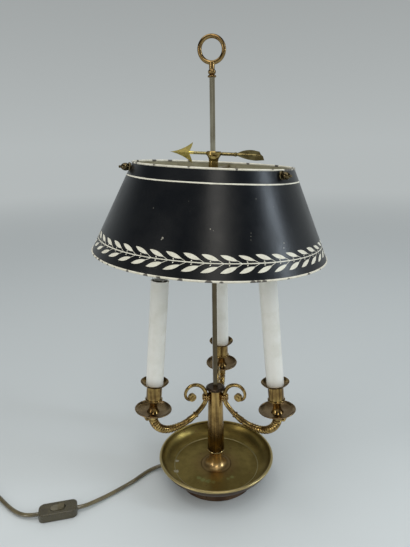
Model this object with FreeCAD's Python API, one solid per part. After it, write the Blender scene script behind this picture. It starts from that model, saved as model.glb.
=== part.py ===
import FreeCAD, Part
import math
import os

# Bouillotte lamp: three fixed candle arms on a dished foot, and a painted metal shade
# that slides on a square rod and is held by an arrow-shaped clamp screw.
# Millimetres, +Z up, origin on the table at the middle of the foot, front towards -Y.

V = FreeCAD.Vector
UP = V(0, 0, 1)

# Foot and dish
FOOT_RADIUS = 60.0
FOOT_TOP_RADIUS = 63.5
FOOT_WALL = 1.6
FOOT_COVE = 1.2
FOOT_FLANGE_INNER = 46.0
DISH_FLOOR_HEIGHT = 21.1
DISH_FLOOR_RADIUS = 66.4
DISH_RIDGE = 0.7
DISH_RIM_RADIUS = 90.0
DISH_RIM_HEIGHT = 39.6
RIM_BEAD = 2.2
DISH_WALL = 1.4
DISH_COVE = (13.2, 5.2)
FELT_THICK = 2.0
FELT_RADIUS = 57.5
WEIGHT_RADIUS = 57.2
WEIGHT_RECESS_RADIUS = 15.0
WEIGHT_RECESS_DEPTH = 7.0
WIRE_SLOT = 4.0
WIRE_SLOT_LOW = 9.6
WINDOW_HEIGHT = 6.0

# Centre: threaded tube, boss, column, cap and rod
TUBE_RADIUS = 5.0
TUBE_BORE = 3.6
TUBE_BOTTOM = 2.6
TUBE_ENGAGED = 6.0
NUT_FLATS = 17.0
NUT_HEIGHT = 5.0
WASHER_RADIUS = 12.0
WASHER_THICK = 1.5
BOSS_FOOT_RADIUS = 24.0
BOSS_NECK_RADIUS = 11.9
BOSS_WAIST_RADIUS = 10.4
BOSS_TOP = 46.0
BOSS_FLARE_RADIUS = 12.3
BOSS_FLARE_HEIGHT = 7.4
BOSS_FLARE_CURVE = (4.5, 2.0)
FERRULE_RADIUS = 14.0
FERRULE_HEIGHT = 3.4
COLUMN_FOOT_RADIUS = 13.4
COLUMN_TOP_RADIUS = 11.0
COLUMN_TOP = 153.0
COLUMN_WALL = 1.2
BLOCK_RADIUS = 9.3
BLOCK_LENGTH = 22.0
BLOCK_ROOF = 7.0
CAP_RADIUS = 14.6
CAP_THICK = 5.5
ROD_SIDE = 6.6
ROD_TURN = 5.0
ROD_TOP = 597.0
ROD_DEPTH = 5.0

# Ring finial
RING_RADIUS = 15.4
RING_WIRE = 2.75
RING_CENTRE = 630.0
FINIAL_COLLAR_RADIUS = 5.6
FINIAL_COLLAR_THICK = 2.6
FINIAL_BEAD_RADIUS = 5.1
FINIAL_BEAD_HEIGHT = 6.4
FINIAL_NECK_RADIUS = 3.7
FINIAL_FILLET = 0.8
FINIAL_PIN_RADIUS = 2.0
FINIAL_PIN_LENGTH = 8.0

# Candle arms: azimuth from the front, positive to the right
ARM_TURNS = {"left": -62.6, "right": 60.5, "back": 173.5}
ARM_REACH = 100.9
ARM_ROOT = 15.8
ARM_ROOT_DROP = 8.5
ARM_DROP = 37.0
ARM_FIRST_BEND = 19.0
ARM_SLENDER = 3.6
ARM_KNUCKLE = 5.1
ARM_SWELL = 4.4
ARM_RIB = 5.1
ARM_RIB_GROOVE = 4.2
RIB_SWELL = 1.7
RIB_COUNT = 13
RIB_SHARES = (0.05, 0.25, 0.75, 0.95)
RIBS_START = 60.0
RIBS_END_GAP = 5.0
KNUCKLE_PLACE = 30.0
KNUCKLE_WIDTH = 3.8
KNUCKLE_EDGE = 0.7
ARM_BUD_WAIST = 3.9
ARM_BUD = 5.0
BUD_END = 46.0
LEAF_ROOT_RADIUS = 6.4
LEAF_CUP_RADIUS = 8.0
LEAF_FLARE = 0.5
LEAF_CUP_LENGTH = 4.85
STUB_RADIUS = 2.6
WIRE_CHANNEL = 1.4
WIRE_RADIUS = 1.0
SCROLL_RISE = 25.1
SCROLL_OUT = 21.8
SCROLL_FIRST_TURN = 30.0
SCROLL_OUTER_BEND = 12.6
SCROLL_INNER_BEND = 11.0
SCROLL_ROOT_RADIUS = 3.3
SCROLL_TIP_RADIUS = 1.9
BUTTON_RADIUS = 6.0
BUTTON_THICK = 5.0
BUTTON_BOSS_RADIUS = 2.2
BUTTON_BOSS_PROUD = 1.0
LEAF_CURL_RADIUS = 4.0
LEAF_CURL_BORE = 1.9
LEAF_CURL_WIDTH = 7.0
LEAF_CURL_SUNK = 1.2
LEAF_CURL_DROP = 1.55
BAND_RADIUS = 6.3
BAND_HEIGHT = 8.8
BAND_GROOVE = 0.9
BAND_GAP = 0.55
SET_SCREW_RADIUS = 1.7
SET_SCREW_LENGTH = 5.5

# Candles, in a frame at the middle of the pan rim that leans towards the rod
CANDLE_LEAN = 5.6
PAN_RISE = 5.3
PAN_RADIUS = 26.5
PAN_DEPTH = 6.2
PAN_FLAT_RADIUS = 13.0
PAN_WALL = 1.0
PAN_CURVE = (20.6, -4.7)
PAN_BEAD = 0.8
CUP_RADIUS = 11.1
CUP_NECK_FOOT = 9.0
CUP_NECK_WAIST = 5.5
CUP_NECK_TOP = 7.5
CUP_FOOT_RADIUS = 12.5
CUP_FOOT_HEIGHT = 2.6
CUP_BARREL_BOTTOM = 13.6
CUP_BARREL_TOP = 36.4
CUP_LIP_HEIGHT = 42.0
CUP_LIP_RADIUS = 20.0
CUP_WALL = 1.1
CUP_LIP_CURVE = (17.0, 38.6)
SLEEVE_RADIUS = 12.25
SLEEVE_WALL = 0.8
SLEEVE_TOP = 190.0
HOLDER_RADIUS = 11.0
HOLDER_LENGTH = 38.0
HOLDER_BELOW_TOP = 4.0
LAMP_CAP_RADIUS = 6.9
LAMP_CAP_LENGTH = 24.0
BULB_RADIUS = 17.5
BULB_LENGTH = 74.0
BULB_NECK_RADIUS = 8.4
BULB_BELLY_SHARE = 0.42
BULB_LOWER = 12.6
BULB_LOWER_SHARE = 0.17
BULB_SHOULDER = 11.5
BULB_SHOULDER_SHARE = 0.74
BULB_TIP = 0.8
GLASS_WALL = 0.7
STEM_RADIUS = 4.0
STEM_BORE = 2.8
STEM_DEPTH = 5.0
LOCK_NUT_FLATS = 12.0
LOCK_NUT_HEIGHT = 3.0

# Shade carriage, in a frame on the rod's axis that leans as a whole
CARRIAGE_HEIGHT = 478.7
CARRIAGE_LEAN = 3.28
SHADE_BOTTOM = -107.5
SHADE_TOP = 11.1
SHADE_BOTTOM_RADIUS = 162.0
SHADE_TOP_RADIUS = 107.7
SHADE_WALL = 0.9
RIM_WIRE = 1.3
KNOB_DROP = 7.0
KNOB_TURNS = (47.0, -73.0, 167.0)
KNOB_RADIUS = 4.9
KNOB_LENGTH = 15.5
KNOB_BASE = 3.2
KNOB_ROUND = 0.9
KNOB_BELLY_SHARE = 0.5
KNOB_TIP = 1.3
KNOB_POINT = 0.5
SPOKE_RADIUS = 1.9
STUD_LENGTH = 6.0
SPIDER_RING_RADIUS = 9.8
SPIDER_RING_HEIGHT = 5.0
HUB_RADIUS = 6.4
HUB_BOTTOM = -2.0
HUB_SHOULDER_RADIUS = 8.4
HUB_FLARE_START = 13.0
HUB_FLARE_RADIUS = 10.6
HUB_TOP = 27.4
HUB_LIP = 4.6
HUB_ROUND = 1.4
HUB_FLARE_BOW = 1.0
ROD_CLEARANCE = 0.25

# Arrow, along the carriage's own X axis
ARROW_HEIGHT = 24.4
ARROW_SHAFT_RADIUS = 2.0
ARROW_SHANK_RADIUS = 1.9
HEAD_TIP = -58.3
HEAD_NOTCH = -33.9
HEAD_BARB = -28.2
HEAD_BARB_HEIGHT = 13.6
HEAD_TIP_THICK = 0.8
HEAD_EDGE_SHARES = (0.43, 0.39)
HEAD_INNER_BOW = 0.7
HEAD_RIDGE = 3.0
HEAD_FACET = 18.0
TAIL_SHAFT_RADIUS = 2.3
TAIL_BEAD = 29.0
TAIL_BEAD_RADIUS = 2.9
TAIL_END = 67.5
TAIL_HEIGHT = 6.4
TAIL_NOTCH = 5.0
TAIL_FULL = 12.0
TAIL_PLATE = 1.6
SCREW_TIP_GAP = 0.35

# Lead, gland, switch and plug
LEAD_DIAMETER = 6.0
LEAD_TURN = 170.0
LEAD_HEIGHT = 9.0
GLAND_RADIUS = 6.2
LEAD_EXIT = 64.0
LEAD_WIRES_RADIUS = 1.5
GLAND_NECK_RADIUS = 4.4
SWITCH_PLACE = (-229.8, -85.0)
SWITCH_TURN = 14.0
SWITCH_LENGTH = 54.0
SWITCH_WIDTH = 25.0
SWITCH_HEIGHT = 12.5
SWITCH_SPLIT = 5.6
SWITCH_CORNER = 8.0
SWITCH_EDGE = 1.8
SWITCH_WALL = 1.5
ROCKER_LENGTH = 20.0
ROCKER_WIDTH = 11.4
ROCKER_TURN = 14.0
ROCKER_PROUD = 1.6
ROCKER_GAP = 0.9
ROCKER_PIN_RADIUS = 1.0
ROCKER_PIN_HEIGHT = 9.8
SWITCH_SCREW_RADIUS = 1.5
SWITCH_HEAD_RADIUS = 2.6
SWITCH_SCREW_SPREAD = 17.0
SWITCH_SCREW_ACROSS = 7.5
SWITCH_POST_RADIUS = 3.0
SWITCH_STUB_END = 12.0
SWITCH_STRAIGHT = 10.0
CONTACT_SIZE = 5.0
PLUG_LENGTH = 36.0
PLUG_WIDTH = 35.0
PLUG_THICK = 13.7
PLUG_NECK_WIDTH = 15.0
PLUG_TAIL_LENGTH = 22.0
PLUG_TAIL_RADIUS = 5.2
PLUG_TAIL_THIN = 4.0
PLUG_EDGE = 1.8
PIN_RADIUS = 2.0
PIN_LENGTH = 19.0
PIN_SPACING = 19.0
PIN_SEATED = 10.0
LEAD_FIRST_RUN = 16.0
BASE_ROUTE = (
    (-95.0, 13.2, 4.4), (-109.5, 5.5, 3.0), (-121.0, -7.5, 3.0), (-133.0, -22.0, 3.0), (-149.0, -37.0, 3.0),
    (-165.8, -52.0, 3.2), (-180.9, -65.1, 4.6))
SWITCH_ROUTE = (
    (-280.4, -90.8, 4.4), (-295.4, -82.8, 3.2), (-311.4, -70.8, 3.0), (-328.0, -56.4, 3.0))

# Put-away coil: half turns about two centres, two layers
COIL_OUTER = 46.2
COIL_PITCH = 7.4
COIL_LAYER = 6.7
COIL_HALF_TURNS = 6
COIL_START = (-361.7, -33.0)
COIL_HEADING = (-0.857, 0.514)
COIL_ENTRY_RUN = 14.0
PLUG_ROUTE = ((18.0, 0.0, 9.7), (34.0, 1.0, 8.3), (50.0, 3.6, 6.85), (62.0, 6.7, 6.85))

# Terminal block in the foot
BLOCK_TERMINAL = (20.0, 12.0, 8.0)
TERMINAL_PLACE = 30.0

# Fits
SEAT = 0.05
PIVOT_FIT = 0.08
CLEAR = 0.3
LOFT_STEP = 3.0


def arc(start, middle, end):
    return Part.Arc(V(*start), V(*middle), V(*end)).toShape()


def outline(points):
    """Closed wire in the XZ plane from (x, z) points; a pair ((x, z), (x, z)) is an arc."""
    edges = []
    here = points[0]
    for item in points[1:] + [points[0]]:
        if isinstance(item[0], tuple):
            middle, end = item
            edges.append(arc((here[0], 0, here[1]), (middle[0], 0, middle[1]), (end[0], 0, end[1])))
        else:
            end = item
            if math.dist(here, end) > 1e-6:
                edges.append(Part.LineSegment(V(here[0], 0, here[1]), V(end[0], 0, end[1])).toShape())
        here = end
    return Part.Wire(edges)


def turned(points):
    """Solid of revolution about Z."""
    return Part.Face(outline(points)).revolve(V(0, 0, 0), UP, 360)


def ring(outer, inner, low, high):
    body = Part.makeCylinder(outer, high - low, V(0, 0, low))
    return body.cut(Part.makeCylinder(inner, high - low + 2, V(0, 0, low - 1)))


def rod_between(start, end, radius):
    start = V(*start)
    step = V(*end) - start
    return Part.makeCylinder(radius, step.Length, start, step)


def cone_between(start, end, radius_start, radius_end):
    start = V(*start)
    step = V(*end) - start
    return Part.makeCone(radius_start, radius_end, step.Length, start, step)


def block(size, centre):
    return Part.makeBox(*size, V(*[c - s / 2 for c, s in zip(centre, size)]))


def square_bar(side, low, high, turn):
    bar = block((side, side, high - low), (0, 0, (high + low) / 2))
    bar.rotate(V(0, 0, 0), UP, turn)
    return bar


def hexagon(flats, low, high, bore):
    corner = flats / math.sqrt(3)
    points = [V(corner * math.cos(math.radians(60 * k)), corner * math.sin(math.radians(60 * k)), low)
              for k in range(7)]
    nut = Part.Face(Part.makePolygon(points)).extrude(V(0, 0, high - low))
    return nut.cut(Part.makeCylinder(bore, high - low + 2, V(0, 0, low - 1)))


def lofted(stations):
    """Ruled loft through circles; a station is (point, tangent, radius) in the XZ plane."""
    circles = []
    for point, tangent, radius in stations:
        across = V(0, 1, 0)
        third = tangent.cross(across)
        turn = FreeCAD.Rotation(across, third, tangent, "ZXY")
        circle = Part.Wire(Part.Circle(V(0, 0, 0), UP, radius).toShape())
        circle.Placement = FreeCAD.Placement(point, turn)
        circles.append(circle)
    return Part.makeLoft(circles, True, True)


def lead_tube(points, radius, name):
    """Tube of straight runs joined by the largest tangent arcs that the runs allow."""
    points = [V(*p) for p in points]
    edges = []
    here = points[0]
    radii = []
    for before, corner, after in zip(points, points[1:], points[2:]):
        run_in = corner - before
        run_out = after - corner
        turn = run_in.getAngle(run_out)
        short = 0.45 * min(run_in.Length, run_out.Length)
        radii.append(short / math.tan(turn / 2))
        back = V(run_in).normalize()
        ahead = V(run_out).normalize()
        start = corner - back * short
        end = corner + ahead * short
        inward = (ahead - back).normalize()
        middle = corner + inward * (radii[-1] / math.cos(turn / 2) - radii[-1])
        edges.append(Part.LineSegment(here, start).toShape())
        edges.append(Part.Arc(start, middle, end).toShape())
        here = end
    edges.append(Part.LineSegment(here, points[-1]).toShape())
    path = Part.Wire(edges)
    profile = Part.Wire(Part.Circle(points[0], points[1] - points[0], radius).toShape())
    tube = path.makePipeShell([profile], True, False)
    section = math.pi * radius * radius
    print(name, "length", round(path.Length, 1), "least radius", round(min(radii), 1),
          "volume over section times length", round(tube.Volume / (section * path.Length), 4))
    return tube


def at_azimuth(shape, azimuth):
    """Turn a shape built along +X so that it points at this azimuth from the front."""
    turned_shape = shape.copy()
    turned_shape.rotate(V(0, 0, 0), UP, azimuth - 90)
    return turned_shape


def on_candle(shape, azimuth):
    """Place a shape built on the candle's own axis."""
    placed = shape.copy()
    placed.rotate(V(0, 0, 0), V(0, 1, 0), -CANDLE_LEAN)
    placed.translate(V(ARM_REACH, 0, pan_height))
    return at_azimuth(placed, azimuth)


def on_carriage(shape):
    placed = shape.copy()
    placed.rotate(V(0, 0, 0), V(0, 1, 0), CARRIAGE_LEAN)
    placed.translate(V(0, 0, CARRIAGE_HEIGHT))
    return placed


def on_switch(shape):
    placed = shape.copy()
    placed.rotate(V(0, 0, 0), UP, SWITCH_TURN)
    placed.translate(V(SWITCH_PLACE[0], SWITCH_PLACE[1], 0))
    return placed


def save(name, *shapes):
    shape = shapes[0] if len(shapes) == 1 else Part.makeCompound(list(shapes))
    for solid in shape.Solids:
        if not solid.isValid():
            print("invalid solid in", name)
    shape.exportStep("parts/" + name + ".step")
    print(name, len(shape.Solids), "solids, volume", round(shape.Volume, 1))


os.makedirs("parts", exist_ok=True)
arm_root_height = COLUMN_TOP - ARM_ROOT_DROP
pan_height = arm_root_height + PAN_RISE

# Foot: spun skirt, felt, iron weight, threaded tube with its nut and washer
dish_under = DISH_FLOOR_HEIGHT - DISH_WALL
flange_under = dish_under - FOOT_WALL
lead_out = V(math.cos(math.radians(LEAD_TURN)), math.sin(math.radians(LEAD_TURN)), 0)
lead_radius = LEAD_DIAMETER / 2
half_height = dish_under / 2
half_radius = (FOOT_RADIUS + FOOT_TOP_RADIUS) / 2 - FOOT_COVE


def along_lead(shape):
    placed = shape.copy()
    placed.rotate(V(0, 0, 0), UP, LEAD_TURN)
    return placed


foot_ring = turned([
    (FOOT_RADIUS - FOOT_WALL, 0), (FOOT_RADIUS, 0),
    ((half_radius, half_height), (FOOT_TOP_RADIUS, dish_under)),
    (FOOT_FLANGE_INNER, dish_under), (FOOT_FLANGE_INNER, flange_under),
    (FOOT_TOP_RADIUS - FOOT_WALL, flange_under),
    ((half_radius - FOOT_WALL, half_height), (FOOT_RADIUS - FOOT_WALL, 0))])
lead_hole = along_lead(rod_between((FOOT_FLANGE_INNER, 0, LEAD_HEIGHT),
                                   (DISH_RIM_RADIUS, 0, LEAD_HEIGHT), GLAND_NECK_RADIUS))
foot_ring = foot_ring.cut(lead_hole)
save("foot_ring", foot_ring)
save("felt_pad", Part.makeCylinder(FELT_RADIUS, FELT_THICK))

weight = ring(WEIGHT_RADIUS, TUBE_RADIUS + CLEAR, FELT_THICK, flange_under)
weight = weight.cut(Part.makeCylinder(WEIGHT_RECESS_RADIUS, WEIGHT_RECESS_DEPTH, V(0, 0, FELT_THICK)))
pocket_low = LEAD_HEIGHT - BLOCK_TERMINAL[2] / 2 - SEAT
pocket_size = (BLOCK_TERMINAL[0] + 2 * CLEAR, BLOCK_TERMINAL[1] + 2 * CLEAR, flange_under)
pocket = block(pocket_size, (TERMINAL_PLACE, 0, pocket_low + flange_under / 2))
slot_width = LEAD_DIAMETER + 2 * CLEAR
lead_slot = Part.makeBox(WEIGHT_RADIUS, slot_width, flange_under,
                         V(TERMINAL_PLACE, -slot_width / 2, LEAD_HEIGHT - slot_width / 2))
wire_slot = Part.makeBox(TERMINAL_PLACE, WIRE_SLOT, flange_under, V(0, -WIRE_SLOT / 2, WIRE_SLOT_LOW))
for hollow in (pocket, lead_slot, wire_slot):
    weight = weight.cut(along_lead(hollow))
save("base_weight", weight)

recess_top = FELT_THICK + WEIGHT_RECESS_DEPTH
tube_top = COLUMN_TOP - BLOCK_LENGTH + TUBE_ENGAGED
tube_window = Part.makeBox(2 * TUBE_RADIUS, TUBE_BORE, WINDOW_HEIGHT, V(0, -TUBE_BORE / 2, WIRE_SLOT_LOW + 1))
tie_tube = ring(TUBE_RADIUS, TUBE_BORE, TUBE_BOTTOM, tube_top).cut(along_lead(tube_window))
save("tie_tube", tie_tube)
save("base_washer", ring(WASHER_RADIUS, TUBE_RADIUS + SEAT, recess_top - WASHER_THICK, recess_top))
save("base_nut", hexagon(NUT_FLATS, recess_top - WASHER_THICK - NUT_HEIGHT, recess_top - WASHER_THICK,
                         TUBE_RADIUS + SEAT))

# Dish: spun brass with a rolled rim
rim_centre = DISH_RIM_RADIUS - RIM_BEAD
floor_top = DISH_FLOOR_HEIGHT + DISH_RIDGE
cove_in = (DISH_FLOOR_RADIUS + DISH_COVE[0], floor_top + DISH_COVE[1])
cove_out = (cove_in[0] + 0.7 * DISH_WALL, cove_in[1] - 0.7 * DISH_WALL)
dish = turned([
    (TUBE_RADIUS + SEAT, dish_under), (DISH_FLOOR_RADIUS, dish_under),
    (cove_out, (rim_centre + DISH_WALL / 2, DISH_RIM_HEIGHT)),
    (rim_centre - DISH_WALL / 2, DISH_RIM_HEIGHT),
    (cove_in, (DISH_FLOOR_RADIUS + DISH_RIDGE, floor_top)),
    (DISH_FLOOR_RADIUS - DISH_RIDGE, DISH_FLOOR_HEIGHT),
    (TUBE_RADIUS + SEAT, DISH_FLOOR_HEIGHT)])
rim_bead = Part.makeTorus(rim_centre, RIM_BEAD, V(0, 0, DISH_RIM_HEIGHT))
save("base_dish", dish.fuse(rim_bead).removeSplitter())

# Boss, ferrule, column, arm block and cap, stacked on the threaded tube
flare_top = DISH_FLOOR_HEIGHT + BOSS_FLARE_HEIGHT
flare_middle = (BOSS_FLARE_RADIUS + BOSS_FLARE_CURVE[0], DISH_FLOOR_HEIGHT + BOSS_FLARE_CURVE[1])
boss = turned([
    (TUBE_RADIUS + SEAT, DISH_FLOOR_HEIGHT), (BOSS_FOOT_RADIUS, DISH_FLOOR_HEIGHT),
    (flare_middle, (BOSS_FLARE_RADIUS, flare_top)),
    ((BOSS_WAIST_RADIUS, (flare_top + BOSS_TOP) / 2), (BOSS_NECK_RADIUS, BOSS_TOP)), (TUBE_RADIUS + SEAT, BOSS_TOP)])
save("column_boss", boss)
column_low = BOSS_TOP + FERRULE_HEIGHT
ferrule = turned([
    (TUBE_RADIUS + SEAT, BOSS_TOP), (COLUMN_FOOT_RADIUS, BOSS_TOP),
    ((FERRULE_RADIUS, BOSS_TOP + FERRULE_HEIGHT / 2), (COLUMN_FOOT_RADIUS, column_low)),
    (TUBE_RADIUS + SEAT, column_low)])
save("column_ferrule", ferrule)

column = turned([
    (COLUMN_FOOT_RADIUS - COLUMN_WALL, column_low), (COLUMN_FOOT_RADIUS, column_low),
    (COLUMN_TOP_RADIUS, COLUMN_TOP), (COLUMN_TOP_RADIUS - COLUMN_WALL, COLUMN_TOP)])
block_low = COLUMN_TOP - BLOCK_LENGTH
arm_block = ring(BLOCK_RADIUS, TUBE_RADIUS + SEAT, block_low, COLUMN_TOP - BLOCK_ROOF)
arm_block = arm_block.fuse(Part.makeCylinder(BLOCK_RADIUS, BLOCK_ROOF, V(0, 0, COLUMN_TOP - BLOCK_ROOF)))
arm_block = arm_block.removeSplitter()
for azimuth in ARM_TURNS.values():
    stub_line = ((0, 0, arm_root_height), (ARM_ROOT, 0, arm_root_height))
    column = column.cut(at_azimuth(rod_between(*stub_line, STUB_RADIUS + CLEAR), azimuth))
    arm_block = arm_block.cut(at_azimuth(rod_between(*stub_line, STUB_RADIUS + SEAT), azimuth))
rod_bottom = COLUMN_TOP - ROD_DEPTH
rod_top_bore = Part.makeCylinder(FINIAL_PIN_RADIUS + SEAT, FINIAL_PIN_LENGTH + CLEAR,
                                 V(0, 0, ROD_TOP - FINIAL_PIN_LENGTH - CLEAR))
rod = square_bar(ROD_SIDE, rod_bottom, ROD_TOP, ROD_TURN).cut(rod_top_bore)
rod_socket = square_bar(ROD_SIDE + 2 * SEAT, rod_bottom, ROD_TOP, ROD_TURN)
arm_block = arm_block.cut(rod_socket)
cap_top = COLUMN_TOP + CAP_THICK
cap_round = CAP_THICK / 2
cap = turned([
    (0, COLUMN_TOP), (COLUMN_TOP_RADIUS, COLUMN_TOP), (CAP_RADIUS - cap_round / 2, COLUMN_TOP + cap_round / 2),
    ((CAP_RADIUS, COLUMN_TOP + cap_round), (CAP_RADIUS - cap_round / 2, cap_top - cap_round / 3)),
    (CAP_RADIUS - cap_round, cap_top), (0, cap_top)])
save("column_tube", column)
save("arm_block", arm_block)
save("column_cap", cap.cut(rod_socket))
save("square_rod", rod)

# Ring finial: collar, bead, neck and lifting ring in one casting, pinned into the rod
collar_top = ROD_TOP + FINIAL_COLLAR_THICK
bead_low = collar_top + FINIAL_FILLET
bead_high = bead_low + FINIAL_BEAD_HEIGHT
ring_low = RING_CENTRE - RING_RADIUS
waist = FINIAL_NECK_RADIUS - FINIAL_FILLET / 2
finial = turned([
    (0, ROD_TOP - FINIAL_PIN_LENGTH), (FINIAL_PIN_RADIUS, ROD_TOP - FINIAL_PIN_LENGTH),
    (FINIAL_PIN_RADIUS, ROD_TOP), (FINIAL_COLLAR_RADIUS - FINIAL_FILLET, ROD_TOP),
    ((FINIAL_COLLAR_RADIUS, ROD_TOP + FINIAL_COLLAR_THICK / 2),
     (FINIAL_COLLAR_RADIUS - FINIAL_FILLET, collar_top)),
    (waist, bead_low),
    ((FINIAL_BEAD_RADIUS, (bead_low + bead_high) / 2), (waist, bead_high)),
    (FINIAL_NECK_RADIUS, bead_high + FINIAL_FILLET), (FINIAL_NECK_RADIUS, ring_low), (0, ring_low)])
lifting_ring = Part.makeTorus(RING_RADIUS, RING_WIRE, V(0, 0, 0), V(0, 1, 0))
lifting_ring.translate(V(0, 0, RING_CENTRE))
save("ring_finial", finial.fuse(lifting_ring).removeSplitter())


# Candle arms: S-scroll castings, drilled for the wire, bound to the column by a band
def bent_path(start, heading, bends):
    """Tangent arcs in the XZ plane; a bend is (radius, degrees), left turns positive."""
    lengths = [radius * math.radians(abs(turn)) for radius, turn in bends]

    def at(length):
        x, z, angle = start[0], start[1], heading
        for (radius, turn), whole in zip(bends, lengths):
            part = min(length, whole)
            side = math.copysign(1, turn)
            centre_x = x - side * radius * math.sin(math.radians(angle))
            centre_z = z + side * radius * math.cos(math.radians(angle))
            angle += side * math.degrees(part / radius)
            x = centre_x + side * radius * math.sin(math.radians(angle))
            z = centre_z - side * radius * math.cos(math.radians(angle))
            length -= part
            if length <= 0:
                break
        return V(x, 0, z), V(math.cos(math.radians(angle)), 0, math.sin(math.radians(angle)))

    return at, sum(lengths)


def drawn(path, marks):
    """Ruled loft along a path through (length, radius) marks, with rings closer than LOFT_STEP."""
    stations = [(*path(marks[0][0]), marks[0][1])]
    for (low, radius_low), (high, radius_high) in zip(marks, marks[1:]):
        count = max(1, math.ceil((high - low) / LOFT_STEP))
        for k in range(1, count + 1):
            share = k / count
            place = low + (high - low) * share
            stations.append((*path(place), radius_low + (radius_high - radius_low) * share))
    return lofted(stations)


# The last bend ends on the candle's axis, under the leaf cup. The first two make up the rest.
lean = math.radians(CANDLE_LEAN)
cup_drop = PAN_DEPTH + LEAF_CUP_LENGTH
last_turn = math.pi / 2 + lean
last_bend = (PAN_RISE + ARM_DROP - cup_drop * math.cos(lean)) / (1 - math.cos(last_turn))
low_reach = ARM_REACH + cup_drop * math.sin(lean) - last_bend * math.sin(last_turn) - ARM_ROOT
first = 2 * math.atan((low_reach - ARM_DROP) / (low_reach + ARM_DROP - 2 * ARM_FIRST_BEND))
second_bend = (ARM_DROP - ARM_FIRST_BEND * math.sin(first)) / (1 - math.sin(first))
root = (ARM_ROOT, arm_root_height)
arm_path, arm_length = bent_path(root, -90, [
    (ARM_FIRST_BEND, math.degrees(first)), (second_bend, 90 - math.degrees(first)),
    (last_bend, math.degrees(last_turn))])

marks = [(0, ARM_SLENDER), (KNUCKLE_PLACE, ARM_SLENDER), (KNUCKLE_PLACE + KNUCKLE_EDGE, ARM_KNUCKLE),
         (KNUCKLE_PLACE + KNUCKLE_WIDTH - KNUCKLE_EDGE, ARM_KNUCKLE),
         (KNUCKLE_PLACE + KNUCKLE_WIDTH, ARM_BUD_WAIST), (BUD_END, ARM_BUD), (BUD_END + KNUCKLE_EDGE, ARM_BUD_WAIST),
         (BUD_END + 2 * KNUCKLE_EDGE, ARM_SWELL), (RIBS_START, ARM_SWELL)]
rib_pitch = (arm_length - RIBS_END_GAP - RIBS_START) / RIB_COUNT
for k in range(RIB_COUNT):
    rib_start = RIBS_START + k * rib_pitch
    swell = RIB_SWELL * k / (RIB_COUNT - 1)
    marks += [(rib_start + rib_pitch * share, radius + swell)
              for share, radius in zip(RIB_SHARES, (ARM_RIB_GROOVE, ARM_RIB, ARM_RIB, ARM_RIB_GROOVE))]
marks.append((arm_length, LEAF_ROOT_RADIUS))
lower_arm = drawn(arm_path, marks)

alpha = math.radians(SCROLL_FIRST_TURN)
mix = (1 - math.cos(alpha)) * (1 - math.sin(alpha)) - math.cos(alpha) * math.sin(alpha)
scroll_first_bend = (SCROLL_OUT * (1 - math.sin(alpha)) - SCROLL_RISE * math.cos(alpha)) / mix
scroll_second_bend = (SCROLL_RISE * (1 - math.cos(alpha)) - SCROLL_OUT * math.sin(alpha)) / mix
scroll_path, scroll_length = bent_path(root, 90, [
    (scroll_first_bend, -SCROLL_FIRST_TURN), (scroll_second_bend, SCROLL_FIRST_TURN - 90),
    (SCROLL_OUTER_BEND, -90), (SCROLL_INNER_BEND, -90)])
scroll = drawn(scroll_path, [(0, SCROLL_ROOT_RADIUS), (scroll_length, SCROLL_TIP_RADIUS)])
scroll_tip = scroll_path(scroll_length)[0]
button_centre = scroll_tip + V(0, 0, BUTTON_RADIUS - SCROLL_TIP_RADIUS)
button = rod_between(button_centre - V(0, BUTTON_THICK / 2, 0), button_centre + V(0, BUTTON_THICK / 2, 0),
                     BUTTON_RADIUS)
boss_half = V(0, BUTTON_THICK / 2 + BUTTON_BOSS_PROUD, 0)
button_boss = rod_between(button_centre - boss_half, button_centre + boss_half, BUTTON_BOSS_RADIUS)

cup_low = -cup_drop
leaf_cup = turned([
    (0, cup_low), (LEAF_ROOT_RADIUS, cup_low),
    ((LEAF_ROOT_RADIUS + LEAF_FLARE, (cup_low - PAN_DEPTH) / 2), (LEAF_CUP_RADIUS, -PAN_DEPTH)),
    (0, -PAN_DEPTH)])
curl_centre = V(LEAF_ROOT_RADIUS + LEAF_CURL_RADIUS - LEAF_CURL_SUNK, 0, cup_low - LEAF_CURL_DROP)
leaf_curl = Part.makeCylinder(LEAF_CURL_RADIUS, LEAF_CURL_WIDTH, curl_centre - V(0, LEAF_CURL_WIDTH / 2, 0),
                              V(0, 1, 0))
leaf_curl = leaf_curl.cut(Part.makeCylinder(LEAF_CURL_BORE, 2 * LEAF_CURL_WIDTH,
                                            curl_centre - V(0, LEAF_CURL_WIDTH, 0), V(0, 1, 0)))


def at_candle_top(shape):
    """From the candle's own axis to the arm's plane, before the arm is turned to its azimuth."""
    placed = shape.copy()
    placed.rotate(V(0, 0, 0), V(0, 1, 0), -CANDLE_LEAN)
    placed.translate(V(ARM_REACH, 0, pan_height))
    return placed


screw_height = -PAN_DEPTH - STEM_DEPTH / 2
screw_inner = -(STEM_RADIUS + SEAT)
set_screw = rod_between((screw_inner, 0, screw_height), (screw_inner - SET_SCREW_LENGTH, 0, screw_height),
                        SET_SCREW_RADIUS)
set_screw = set_screw.cut(block((SET_SCREW_RADIUS, SET_SCREW_RADIUS / 3, 2 * SET_SCREW_RADIUS),
                                (screw_inner - SET_SCREW_LENGTH, 0, screw_height)))
screw_hole = rod_between((0, 0, screw_height), (screw_inner - SET_SCREW_LENGTH, 0, screw_height),
                         SET_SCREW_RADIUS + SEAT)
stem_socket = Part.makeCylinder(STEM_RADIUS + SEAT, STEM_DEPTH + PAN_DEPTH,
                                V(0, 0, -PAN_DEPTH - STEM_DEPTH))
stub_inner = (TUBE_RADIUS + SEAT + CLEAR, 0, arm_root_height)
stub = rod_between(stub_inner, (ARM_ROOT, 0, arm_root_height), STUB_RADIUS)
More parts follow.
